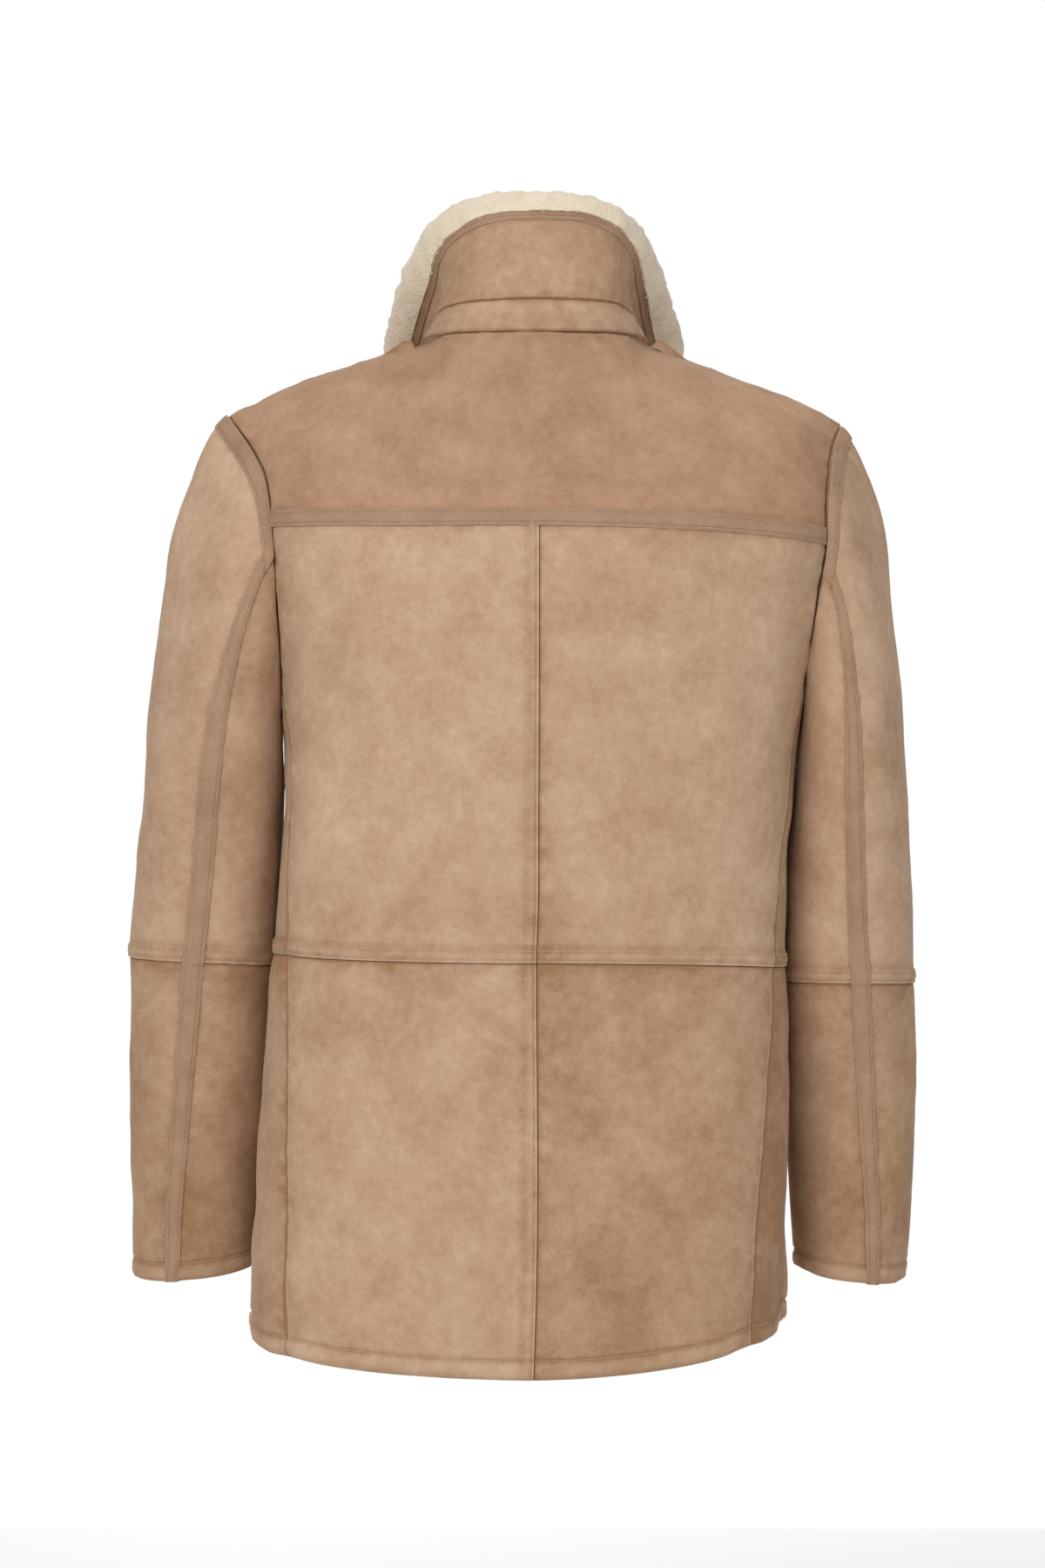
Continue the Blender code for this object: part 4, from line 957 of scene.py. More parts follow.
# Creases, from one end to the other: where they are, how deep and how wide. They show from behind.
CREASES = table(
    "from_x from_y from_z to_x to_y to_z depth width",
    (200, 45, -222, 236, 38, -238, 1.8, 7),
    (202, 40, -250, 232, 36, -262, 1.2, 6),
    (196, 25, -330, 224, 34, -345, 1.3, 9),
    (232, 45, -400, 286, 20, -418, 0.9, 14),
    (236, 30, -520, 290, 10, -506, 0.8, 14),
    (-214, 45, -236, -244, 38, -252, 1.4, 8),
    (-210, 32, -345, -240, 34, -362, 1.1, 10),
    (-222, 40, -452, -276, 20, -440, 0.9, 14),
    (-224, 20, -560, -276, 5, -548, 0.8, 14),
    (120, 110, -560, 40, 128, -600, 0.9, 26),
    (-60, 128, -520, -130, 118, -580, 1.0, 28),
    (60, 118, -250, 130, 108, -300, 0.8, 24),
    (-70, 118, -300, -150, 104, -262, 0.9, 22),
    (150, 80, -420, 185, 40, -440, 1.0, 14),
    (-150, 80, -425, -182, 40, -446, 1.0, 14),
)


def creases(points):
    """The lift of all creases: a valley with a low fold on each side of it."""
    lift = np.zeros(points.shape[:-1])
    for i, depth in enumerate(CREASES["depth"]):
        start = np.array([CREASES["from_" + axis][i] for axis in "xyz"])
        end = np.array([CREASES["to_" + axis][i] for axis in "xyz"])
        way = end - start
        share = np.clip((points - start) @ way / (way @ way), 0, 1)
        away = np.linalg.norm(points - start - share[..., None] * way, axis=-1) / CREASES["width"][i]
        fade = 0.35 + 0.65 * np.sin(np.pi * np.clip(share, 0.02, 0.98))
        lift -= depth * fade * (1 - 0.7 * away**2) * np.exp(-(away**2))
    return lift


body_cloth = Cloth(
    body, inside,
    rows=[row for row in range(HEM_ROW + 1) if row not in (17, 18)],
    columns=[column for column in range(LAST + 1) if column != CENTRE - 1],
    close_rows={
        0: (0, 4), 4: (0, 8), 5: (8, 8), 6: (8, 0), 19: (13, 6),
        24: (0, 0), 25: (6, 9), 26: (9, 9), 27: (9, 0),
    },
    close_columns={
        0: (0, 9), 13: (4, 7), 16: (6, 6), 19: (4, 8), 30: (5, 10),
        41: (8, 4), 44: (6, 6), 47: (7, 4), 60: (9, 0),
    },
    wave_seed=3,
)
sleeve_cloths = {}
for word, (grid, within) in sleeves.items():
    order = [-2, -1, *range(len(SLEEVE_TURN)), 1, 2]
    turned = np.array(SLEEVE_TURN)
    wrapped = np.concatenate([turned[-3:-1], turned, turned[1:3]])
    outer, inner = grid[:, wrapped], within[:, wrapped]
    if word == "right":
        outer, inner = outer[:, ::-1], inner[:, ::-1]
    sleeve_cloths[word] = Cloth(
        outer, inner,
        rows=[row for row in range(CUFF_ROW + 1) if row not in (9, 10)],
        columns=list(range(outer.shape[1])),
        close_rows={0: (0, 8), 1: (8, 8), 2: (8, 0), 11: (13, 6), 15: (5, 9), 16: (9, 9), 17: (9, 0)},
        close_columns={2: (2, 5), 32: (5, 2), **dict.fromkeys((13, 14, 15, 19, 20, 21), (8, 8))},
        wave_seed=23 if word == "left" else 43,
    )
collar_cloth = Cloth(
    collar[::-1], collar_inside[::-1],
    rows=list(range(7)), columns=list(range(len(neck_line))),
    close_rows={0: (0, 9), 1: (9, 4), 4: (6, 6), 6: (5, 0)}, close_columns={0: (0, 6), 24: (6, 0)},
    wave_seed=63,
)
print("fine points", body_cloth.points.shape, sleeve_cloths["left"].points.shape, collar_cloth.points.shape)

# %% [markdown]
# A panel is a block of this cloth. It is drawn in a hair's breadth along its seams, so that neighbours show a
# fine dark line between them, and it sinks a little beside each seam, where the stitches pull the wool flat.
# Beside a lapped seam it is doubled, so it stands out there; a turned edge, such as the hem, is round. The
# attribute `shade` paints light and shade into the colour there: painted shade in the grooves and dips, a
# painted highlight on the hem's swell, and on a lap's raised edge a paler tone, partly rubbed and partly
# painted highlight.

# %% Panels
SEAM_GAP = 0.15
SEAM_DIP = 0.55  # how far the stitches pull the cloth down beside a seam
LAP_STEP, LAP_ROW = 1.5, 2.2  # a lap stands out this much, with its first stitches this far from the edge
# A lap's raised edge is painted paler: partly rubbed wear, partly a painted highlight.
RUBBED_AND_HIGHLIGHT = 0.95  # how much paler a lap's own edge is
EDGE_ANGLES = np.radians([0, 30, 60, 90])
EDGES = ("top", "bottom", "left", "right")
finished = {}


def edge_distances(points):
    """How far each point lies from the block's four edges, along the cloth."""
    down = np.linalg.norm(np.diff(points, axis=0), axis=-1)
    across = np.linalg.norm(np.diff(points, axis=1), axis=-1)
    top = np.concatenate([np.zeros((1, points.shape[1])), np.cumsum(down, axis=0)])
    left = np.concatenate([np.zeros((points.shape[0], 1)), np.cumsum(across, axis=1)], axis=1)
    return dict(top=top, bottom=top[-1] - top, left=left, right=left[:, -1:] - left)


def from_edge(layers, name):
    """The block's lines counted from the named edge."""
    lines = layers if name in ("top", "bottom") else np.moveaxis(layers, 1, 0)
    return lines if name in ("top", "left") else lines[::-1]


def with_edge(lines, name):
    lines = lines if name in ("top", "left") else lines[::-1]
    return lines if name in ("top", "bottom") else np.moveaxis(lines, 0, 1)


def rounded(layers, radii, sign):
    """The block with finer lines along its edges that bend in over the given radii."""
    for name in EDGES:
        radius = radii.get(name, 0.0)
        lines = from_edge(layers, name)
        way = unit(lines[1, :, :3] - lines[0, :, :3])
        extra = []
        for angle in EDGE_ANGLES:
            line = lines[0].copy()
            into = max(radius, 0.4) * (1 - np.cos(angle))
            line[:, :3] += way * into - line[:, 3:6] * radius * (1 - np.sin(angle)) * sign
            extra.append(line)
        layers = with_edge(np.concatenate([np.array(extra), lines[1:]]), name)
    return layers


def closed_mesh(name, outer, inner, shade, materials, inner_material):
    """A wall between two blocks of points of the same size."""
    rows, columns = outer.shape[:2]
    size = rows * columns
    index = np.arange(size).reshape(rows, columns)
    a, b, c, d = index[:-1, :-1], index[1:, :-1], index[1:, 1:], index[:-1, 1:]
    front = np.stack([a, b, c, d], axis=-1).reshape(-1, 4)
    back = np.stack([a, d, c, b], axis=-1).reshape(-1, 4) + size
    border = np.concatenate([index[0, :-1], index[:-1, -1], index[-1, :0:-1], index[:0:-1, 0]])
    after = np.roll(border, -1)
    rim = np.stack([border, after, after + size, border + size], axis=-1)
    mesh = bpy.data.meshes.new(name)
    points = np.concatenate([outer.reshape(-1, 3), inner.reshape(-1, 3)]) * MM
    mesh.from_pydata(points, [], np.concatenate([front, rim, back]))
    for material in materials:
        mesh.materials.append(material)
    kinds = np.zeros(len(mesh.polygons), dtype=np.int32)
    kinds[len(front) + len(rim) :] = inner_material
    mesh.polygons.foreach_set("material_index", kinds)
    values = np.concatenate([shade.reshape(-1), np.zeros(size)]).astype(np.float32)
    mesh.attributes.new("shade", "FLOAT", "POINT").data.foreach_set("value", values)
    mesh.shade_smooth()
    mesh.set_sharp_from_angle(angle=np.radians(50))
    piece = bpy.data.objects.new(name, mesh)
    scene.collection.objects.link(piece)
    return piece


def join_part(piece, nodes=()):
    """The piece belongs to the part's one body and stands for these measured solids."""
    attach(piece, "root")
    if nodes:
        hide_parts(*nodes)


def declare_cloth(piece, flat, rests_on):
    """The flat cut: its width and length over the curves, and its area."""
    width = np.linalg.norm(np.diff(flat, axis=1), axis=-1).sum(axis=1).max() * MM
    length = np.linalg.norm(np.diff(flat, axis=0), axis=-1).sum(axis=0).max() * MM
    sides = np.cross(flat[1:, 1:] - flat[:-1, :-1], flat[1:, :-1] - flat[:-1, 1:])
    area = np.linalg.norm(sides, axis=-1).sum() / 2 * MM * MM
    width, length = max(width, 0.0102), max(length, 0.0102)
    area = min(area, width * length)
    [carrier + "_hide" for carrier in rests_on]
    print(f"{piece.name}: cut {width * 1000:.0f} x {length * 1000:.0f} mm, {area * 10000:.0f} square cm")


# How much paler or browner than the back each panel is painted. Partly this is the skins' own tone, since no
# two sheepskins take the dye alike, and partly painted shade on panels turned from the light: the sides, most
# on the right, the undersleeves, the lower sleeves and the collar's fall.
SKIN_TONE_AND_SHADE = {
    "back_right": -0.05, "skirt_back_left": -0.10, "skirt_back_right": -0.42,
    "side_left": -0.15, "side_right": -0.40, "skirt_side_left": -0.30, "skirt_side_right": -0.80,
    "topsleeve_lower_left": -0.45, "topsleeve_lower_right": -0.42, "topsleeve_upper_right": -0.05,
    "undersleeve_upper_left": -0.20, "undersleeve_upper_right": -0.20,
    "undersleeve_lower_left": -0.55, "undersleeve_lower_right": -0.50,
    "skirt_front_left": -0.10, "skirt_front_right": -0.45, "collar_fall": -0.25, "collar_stand": -0.05,
}


def ridge(away, width):
    """1 where away is 0, falling off smoothly on both sides over this width."""
    return np.exp(-((away / width) ** 2))


def make_panel(
    name, cloth, rows, columns, finish=SUEDE, rests_on=(),
    laps=None, turned=None, sewn=EDGES, flare=0.0, pucker_seed=7,
):
    """laps and turned say by edge how wide a doubled strip is and how round a turned edge is."""
    block = cloth.block(rows, columns)
    flat, out = cloth.flat[block], cloth.out[block]
    outer, inner = cloth.points[block], cloth.inner[block]
    distances = edge_distances(flat)
    lift = np.zeros(flat.shape[:2])
    shade = np.zeros(flat.shape[:2])
    pull = np.zeros(flat.shape[:2])
    for edge in sewn:
        away = distances[edge]
        lift -= SEAM_DIP * ridge(away, 5.5)
        # painted shade: darker along the seam line and over the dip where the stitches pull the cloth down
        shade -= 0.55 * ridge(away, 1.6) + 0.16 * ridge(away, 9)
        pull = np.maximum(pull, ridge(away, 11))
    for edge, width in (laps or {}).items():
        away = distances[edge]
        lift += LAP_STEP * smooth((width + 1.5 - away) / 3) + 0.35 * ridge(away - width / 2, 2.4)
        # painted shade in the lap's stitch grooves
        for row in (LAP_ROW, width - 1.8):
            lift -= 0.4 * ridge(away - row, 0.9)
            shade -= 0.6 * ridge(away - row, 0.9)
        # paler raised edge, rubbed and painted as a highlight; just past the lap, a painted shadow of its
        # step
        shade += RUBBED_AND_HIGHLIGHT * ridge(away, 1.7) - 0.35 * ridge(away - width - 1.5, 1.6)
    lift += 0.4 * pull * waves(flat, 12, pucker_seed)
    shade += 0.16 * pull * waves(flat, 13, pucker_seed + 1)
    fold_in = np.zeros(flat.shape[:2])
    for edge, (radius, share, seam) in (turned or {}).items():
        away = distances[edge]
        near = np.clip(radius - away, 0, radius)
        fold_in += (radius - np.sqrt(np.maximum(radius**2 - near**2, 0))) * share
        if seam:
            strength = np.broadcast_to(share, away.shape)
            swell = 0.9 * np.sin(np.pi * np.clip(away / seam, 0, 1)) ** 0.7
            uneven = 0.35 * ridge(away - seam / 2, seam) * waves(flat, 15, pucker_seed + 2)
            lift += strength * (swell - 1.2 * ridge(away - seam, 1.7) + uneven)
            # painted highlight on the hem's swell and painted shade in its stitch groove
            shade += strength * (0.22 * ridge(away - seam * 0.55, 4) - 0.5 * ridge(away - seam, 1.5))
    # each panel's tone: the skin's own dye plus painted shade where it faces away from the light
    shade += SKIN_TONE_AND_SHADE.get(name, 0.0)
    outer = outer + out * (lift + flare - fold_in)[..., None]
    inner = inner + out * (flare + fold_in)[..., None]
    finished[name] = dict(points=outer, out=out, distances=distances)
    layers = np.concatenate([outer, out, shade[..., None]], axis=-1)
    layers_in = np.concatenate([inner, out, shade[..., None]], axis=-1)
    for edge in sewn:
        lines = from_edge(layers, edge)
        lines[0, :, :3] += unit(lines[1, :, :3] - lines[0, :, :3]) * SEAM_GAP
    radii = {edge: 0.8 for edge in sewn}
    layers = rounded(layers, radii, 1)
    layers_in = rounded(layers_in, {}, 1)
    materials = (finish, FLEECE)
    piece = closed_mesh(name + "_hide", layers[..., :3], layers_in[..., :3], layers[..., 6], materials, 1)
    join_part(piece, (name,))
    declare_cloth(piece, flat, rests_on)
    return piece


LAP, CENTRE_LAP = 11.0, 8.5
NOT_BOTTOM = ("top", "left", "right")
HEM = dict(bottom=(4.0, 1.0, 14.5))
UPPER, SKIRT = (YOKE_ROW, WAIST_ROW), (WAIST_ROW, HEM_ROW)
LEFT_BACK, RIGHT_BACK = (BACK_EDGE, CENTRE), (CENTRE, LAST - BACK_EDGE)
make_panel(
    "back_yoke", body_cloth, (0, YOKE_ROW), (BACK_EDGE, LAST - BACK_EDGE), YOKE
)
make_panel(
    "back_left", body_cloth, UPPER, LEFT_BACK, rests_on=["back_yoke"], laps=dict(bottom=LAP, right=CENTRE_LAP)
)
make_panel("back_right", body_cloth, UPPER, RIGHT_BACK, rests_on=["back_yoke"], laps=dict(bottom=LAP))
make_panel(
    "skirt_back_left", body_cloth, SKIRT, LEFT_BACK, rests_on=["back_left"],
    laps=dict(right=CENTRE_LAP), turned=HEM, sewn=NOT_BOTTOM,
)
make_panel(
    "skirt_back_right", body_cloth, SKIRT, RIGHT_BACK, rests_on=["back_right"], turned=HEM, sewn=NOT_BOTTOM
)

skirt_rows, side_column = body_cloth.block(SKIRT, (SIDE, SIDE))
vent_height = body_cloth.flat[skirt_rows, side_column.start, 2]
vent_open = smooth((VENT_TOP - vent_height) / VENT_LONG)[:, None]
VENT_REACH = 75.0  # the front skirt stands away from the back's within this distance of the vent
for side, word in ((1, "left"), (-1, "right")):
    def turn(first, last):
        return (first, last) if side > 0 else (LAST - last, LAST - first)

    to_front, to_back = ("left", "right") if side > 0 else ("right", "left")
    rounded_front = {to_front: (4.0, 1.0, 0)}
    make_panel(
        f"side_{word}", body_cloth, (ARMPIT_ROW, WAIST_ROW), turn(FRONT_EDGE, BACK_EDGE),
        rests_on=[f"back_{word}"], laps=dict(bottom=LAP),
    )
    make_panel(
        f"front_{word}", body_cloth, (0, WAIST_ROW), turn(0, FRONT_EDGE), rests_on=["back_yoke"],
        laps=dict(bottom=LAP), turned=rounded_front, sewn=("top", "bottom", to_back),
    )
    make_panel(
        f"skirt_side_{word}", body_cloth, SKIRT, turn(SIDE, BACK_EDGE), rests_on=[f"side_{word}"],
        turned={**HEM, to_front: (4.0, vent_open, 0)}, sewn=("top", to_back),
    )
    cut = body_cloth.flat[body_cloth.block(SKIRT, turn(0, SIDE))]
    near_vent = smooth(1 - edge_distances(cut)[to_back] / VENT_REACH)
    flare = named(side, VENT_FLARE_LEFT, VENT_FLARE_RIGHT) * vent_open * near_vent
    make_panel(
        f"skirt_front_{word}", body_cloth, SKIRT, turn(0, SIDE), rests_on=[f"front_{word}"],
        turned={**HEM, **rounded_front, to_back: (4.0, vent_open, 0)}, sewn=("top",), flare=flare,
    )

# %% [markdown]
# Each sleeve is four panels: topsleeve and undersleeve, each joined at the elbow by a lapped seam, because
# one sheepskin is seldom long enough for a whole sleeve. The cuff is turned in like the hem.

# %% Sleeve panels
SLEEVE_COLUMNS = 34
SLEEVE_SPANS = dict(topsleeve=(2, 20), undersleeve=(20, 32))


def sleeve_span(word, first, last):
    """The right sleeve's columns run the other way."""
    return (SLEEVE_COLUMNS - last, SLEEVE_COLUMNS - first) if word == "right" else (first, last)


for word, cloth in sleeve_cloths.items():
    for name, span in SLEEVE_SPANS.items():
        columns = sleeve_span(word, *span)
        make_panel(
            f"{name}_upper_{word}", cloth, (0, ELBOW_ROW), columns,
            rests_on=["back_yoke"], laps=dict(bottom=LAP),
        )
        make_panel(
            f"{name}_lower_{word}", cloth, (ELBOW_ROW, CUFF_ROW), columns,
            rests_on=[f"{name}_upper_{word}"], turned=dict(bottom=(3.5, 1.0, 14.0)), sewn=NOT_BOTTOM,
        )

# %% [markdown]
# The collar is a stand, which goes round the neck, and a fall above it, here turned up. Their wool faces the
# neck. The line between them is stitched.

# %% Collar panels
ROUND_COLLAR = (0, 24)
make_panel("collar_stand", collar_cloth, (4, 6), ROUND_COLLAR, rests_on=["back_yoke"], sewn=("top", "bottom"))
make_panel(
    "collar_fall", collar_cloth, (0, 4), ROUND_COLLAR, rests_on=["collar_stand"],
    sewn=("bottom",),
)

# %% [markdown]
# Strips of smooth leather, about 15 mm wide, cover the yoke seam, the armhole seam and the sleeve's back
# seam, and a narrower one binds the collar's suede edge. They lie on top and hold the seam flat, so each is a
# thin band made from the cloth's own points, moved out. Their edges ripple a little between the stitches.

# %% Tapes
TAPE_ROW = 2.0  # stitches this far from a tape's edge
SLEEVE_TAPE_SHARE = 0.82


def make_tape(name, cloth, rows, columns, rests_on, ends, raised=0.0, stitched=("left", "right"), width=1.0):
    block = cloth.block(rows, columns)
    flat, out = cloth.points[block], cloth.out[block]
    middle = (flat[:, :1] + flat[:, -1:]) / 2
    flat = middle + (flat - middle) * width
    distances = edge_distances(flat)
    ripple = 0.3 * waves(flat, 15, 91) + 0.12 * waves(flat, 6, 92)
    shade = np.zeros(flat.shape[:2])
    for edge in stitched:
        away = distances[edge]
        ripple -= 0.35 * ridge(away - TAPE_ROW, 0.8) + 0.3 * ridge(away, 1.2)
        # painted shade in the stitch grooves; a paler edge, rubbed and painted as a highlight
        shade += 0.25 * ridge(away, 0.8) - 1.0 * ridge(away - TAPE_ROW, 0.8)
    lift = TAPE_LIFT + TAPE_THICK + 0.25 + ripple + raised
    outer = flat + out * lift[..., None]
    inner = flat + out * (np.broadcast_to(raised, lift.shape) - 0.3)[..., None]
    finished[name] = dict(points=outer, out=out, distances=distances)
    layers = np.concatenate([outer, out, shade[..., None]], axis=-1)
    layers_in = np.concatenate([inner, out, shade[..., None]], axis=-1)
    for edge, amount in ends.items():
        for block_layers in (layers, layers_in):
            lines = from_edge(block_layers, edge)
            lines[0, :, :3] += unit(lines[1, :, :3] - lines[0, :, :3]) * amount
    layers = rounded(layers, dict.fromkeys(EDGES, 0.6), 1)
    layers_in = rounded(layers_in, {}, 1)
    piece = closed_mesh(name + "_strip", layers[..., :3], layers_in[..., :3], layers[..., 6], (LEATHER,), 0)
    join_part(piece, (name,))
    declare_cloth(piece, flat, rests_on)


LONG_EDGES = ("top", "bottom")
make_tape(
    "yoke_tape", body_cloth, (YOKE_ROW - 1, YOKE_ROW + 1), (BACK_EDGE, LAST - BACK_EDGE), ["back_yoke"],
    dict(left=1.0, right=1.0), stitched=LONG_EDGES,
)
for word, cloth in sleeve_cloths.items():
    carrier = [f"topsleeve_upper_{word}"]
    make_tape(
        f"armhole_tape_{word}", cloth, (0, 2), sleeve_span(word, 3, 21), carrier, dict(top=0.9),
        stitched=LONG_EDGES,
    )
    columns = sleeve_span(word, 19, 21)
    block = cloth.block((2, CUFF_ROW), columns)
    heights = cloth.row_at[block[0]]
    elbow = 1.3 * smooth((heights - ELBOW_ROW + 1) / 0.25) * (heights <= ELBOW_ROW)
    elbow = np.broadcast_to(elbow[:, None], cloth.points[block].shape[:2])
    make_tape(
        f"sleeve_tape_{word}", cloth, (2, CUFF_ROW), columns, carrier, {}, raised=elbow,
        width=SLEEVE_TAPE_SHARE,
    )
make_tape("collar_edge_tape", collar_cloth, (0, 1), ROUND_COLLAR, ["collar_fall"], {}, stitched=("bottom",))
print("tapes", sum("tape" in name for name in finished))

# %% [markdown]
# The collar's edge shows the wool itself: the skin's fleece, left standing past the suede. First comes the
# mass of it, a soft bead along the edge that goes down inside the collar. The single locks are grown on it in
# the next cell.

# %% The wool's mass
def bead(last, before, out, reach):
    """Rings of a rounded bead along the collar's edge."""
    onward = last - before
    onward = unit(onward - out * np.sum(onward * out, axis=1, keepdims=True))
    thick = (RIM_OUT + RIM_IN) / 2 - 0.9
    middle = last + out * (RIM_OUT - thick - 1.2)
    turns = np.radians(np.linspace(100, -100, 16))
    ring = [middle + out * thick * np.sin(turn) + onward * reach[:, None] * np.cos(turn) for turn in turns]
    return np.array(ring)


reach = np.interp(collar_cloth.column_at, np.arange(len(rims)), rims) - 1.5
ring = bead(collar_cloth.points[0], collar_cloth.points[3], collar_cloth.out[0], reach)
ring_out = grid_normals(ring)
ring = ring + ring_out * (0.8 * waves(ring, 9, 71) + 0.5 * waves(ring, 5, 72))[..., None]
ring_in = ring - ring_out * 3.0
shade = 0.3 * waves(ring, 12, 73)
wool = closed_mesh("collar_wool_mass", ring, ring_in, shade, (FLEECE,), 0)
join_part(wool, ("collar_wool",))
print("wool bead", len(wool.data.vertices), "points")

# %% [markdown]
# Wool locks and stitches repeat thousands of times, so they are grown by node trees with a few named inputs.
# `Tree` holds such a tree, and `grown` runs it once on a base mesh and keeps the plain result.

# %% Node trees that grow things
class Tree:
    """A tree of geometry nodes: inputs are (name, kind, value), settings that can be changed per piece."""

    def __init__(self, name, inputs):
        self.group = bpy.data.node_groups.new(name, "GeometryNodeTree")
        self.group.interface.new_socket("Base", in_out="INPUT", socket_type="NodeSocketGeometry")
        for label, kind, value in inputs:
            socket = self.group.interface.new_socket(label, in_out="INPUT", socket_type="NodeSocket" + kind)
            if value is not None:
                socket.default_value = value
        self.group.interface.new_socket("Result", in_out="OUTPUT", socket_type="NodeSocketGeometry")
        self.given = self.group.nodes.new("NodeGroupInput").outputs

    def node(self, kind, inputs=None, **settings):
        made = self.group.nodes.new(kind)
        for name, value in settings.items():
            setattr(made, name, value)
        for key, value in (inputs or {}).items():
            if isinstance(value, bpy.types.NodeSocket):
                self.group.links.new(value, made.inputs[key])
            else:
                made.inputs[key].default_value = value
        return made.outputs

    def finish(self, geometry, material):
        self.material = material
        real = self.node("GeometryNodeRealizeInstances", {"Geometry": geometry})
        painted = self.node("GeometryNodeSetMaterial", {"Geometry": real[0], "Material": material})
        end = self.group.nodes.new("NodeGroupOutput")
        self.group.links.new(painted[0], end.inputs[0])
        return self


def grown(name, mesh, tree, **values):
    """The mesh that the tree makes from a base mesh, as a plain object."""
    piece = bpy.data.objects.new(name, mesh)
    scene.collection.objects.link(piece)
    modifier = piece.modifiers.new("grow", "NODES")
    modifier.node_group = tree.group
    for item in tree.group.interface.items_tree:
        if item.in_out == "INPUT" and item.name in values:
            modifier[item.identifier] = values[item.name]
    graph = bpy.context.evaluated_depsgraph_get()
    result = bpy.data.meshes.new_from_object(piece.evaluated_get(graph), depsgraph=graph)
    result.materials.clear()
    result.materials.append(tree.material)
    piece.modifiers.clear()
    piece.data = result
    print(name, len(result.vertices), "points", len(result.polygons), "faces")
    return piece


# %% [markdown]
# A lock of clipped wool is a short curl, thick at its root and thin at its tip. The tree scatters points over
# the base, turns each one's curl at random about the surface's direction, tips it a little, and varies its
# size. A fixed seed gives the same fleece every time.

# %% Wool locks
locks = Tree("wool_locks", [
    ("Per square metre", "Float", 150000.0), ("Seed", "Int", 1), ("Height", "Float", 0.006),
    ("Curl", "Float", 0.0011), ("Thickness", "Float", 0.0007), ("Tip", "Float", 0.6),
])
given = locks.given
spread = locks.node(
    "GeometryNodeDistributePointsOnFaces",
    {"Mesh": given["Base"], "Density": given["Per square metre"], "Seed": given["Seed"]},
)
curl = locks.node("GeometryNodeCurveSpiral", {
    "Resolution": 6, "Rotations": 0.85, "Start Radius": given["Curl"], "End Radius": 0.0004,
    "Height": given["Height"], "Reverse": False,
})
along_curl = locks.node("GeometryNodeSplineParameter")
slim = locks.node("ShaderNodeMapRange", {"Value": along_curl["Factor"], "To Min": 1.0, "To Max": 0.35})
radius = locks.node("ShaderNodeMath", {0: slim[0], 1: given["Thickness"]}, operation="MULTIPLY")
section = locks.node("GeometryNodeCurvePrimitiveCircle", {"Resolution": 3, "Radius": 1.0})
lock = locks.node("GeometryNodeCurveToMesh", {
    "Curve": curl[0], "Profile Curve": section[0], "Scale": radius[0], "Fill Caps": True,
})
turned = locks.node(
    "FunctionNodeRandomValue", {0: (-0.6, -0.6, 0.0), 1: (0.6, 0.6, 6.283), "Seed": given["Seed"]},
    data_type="FLOAT_VECTOR",
)
tilt = locks.node("FunctionNodeEulerToRotation", {0: turned[0]})
aimed = locks.node(
    "FunctionNodeRotateRotation", {0: spread["Rotation"], 1: tilt[0]}, rotation_space="LOCAL"
)
size = locks.node("FunctionNodeRandomValue", {2: 0.7, 3: 1.3, "Seed": given["Seed"]}, data_type="FLOAT")
placed = locks.node("GeometryNodeInstanceOnPoints", {
    "Points": spread["Points"], "Instance": lock[0], "Rotation": aimed[0], "Scale": size[1],
})
locks.finish(placed[0], FLEECE)


def scalp(name, points, spacing=1):
    """A one-sided base mesh over a block of points, facing out."""
    points = points[:, ::spacing]
    rows, columns = points.shape[:2]
    index = np.arange(rows * columns).reshape(rows, columns)
    faces = np.stack([index[:-1, :-1], index[1:, :-1], index[1:, 1:], index[:-1, 1:]], axis=-1).reshape(-1, 4)
    mesh = bpy.data.meshes.new(name)
    mesh.from_pydata(points.reshape(-1, 3) * MM, [], faces)
    return mesh


def area_of(mesh):
    return sum(face.area for face in mesh.polygons)


def grow_locks(name, mesh, count, seed, **values):
    values = {"Per square metre": count / area_of(mesh), "Seed": seed, **values}
    join_part(grown(name, mesh, locks, **values))


RIM_LOCKS, COLLAR_LOCKS = 4700, 4300
grow_locks("wool_rim_locks", scalp("rim_base", ring - ring_out * 1.6), RIM_LOCKS, 5, Height=0.0042)
within_collar = (collar_cloth.inner + collar_cloth.out * 0.8)[1:, ::-1]
grow_locks(
    "wool_collar_locks", scalp("collar_base", within_collar, 2), COLLAR_LOCKS, 6,
    Height=0.005, Thickness=0.0009, Curl=0.0016,
)

# %% [markdown]
# Every seam is topstitched with tan thread, ten stitches to the inch, which is 2.5 mm each. A path of
# stitches lies at a set distance from a panel's edge. The tree puts points 2.5 mm apart on all the paths and
# a small spindle of thread on each, along the path and pressed into the skin.

# %% Stitches
paths, path_out = [], []


def stitch_path(name, edge, away, sunk=0.05, first=0.0, last=1.0):
    """The line that lies this far from one edge of a finished piece."""
    made = finished[name]
    points, out = from_edge(made["points"], edge), from_edge(made["out"], edge)
    far = from_edge(made["distances"][edge][..., None], edge)[..., 0]
    count = points.shape[1]

    def at_distance(values):
        picked = [[np.interp(away, far[:, i], values[:, i, axis]) for axis in range(3)] for i in range(count)]
        return np.array(picked)

    line, way_out = at_distance(points), at_distance(out)
    line = line + way_out * (0.12 - sunk)
    run = np.concatenate([[0], np.cumsum(np.linalg.norm(np.diff(line, axis=0), axis=1))])
    keep = (run >= run[-1] * first + 1.2) & (run <= run[-1] * last - 1.2)
    paths.append(line[keep])
    path_out.append(way_out[keep])


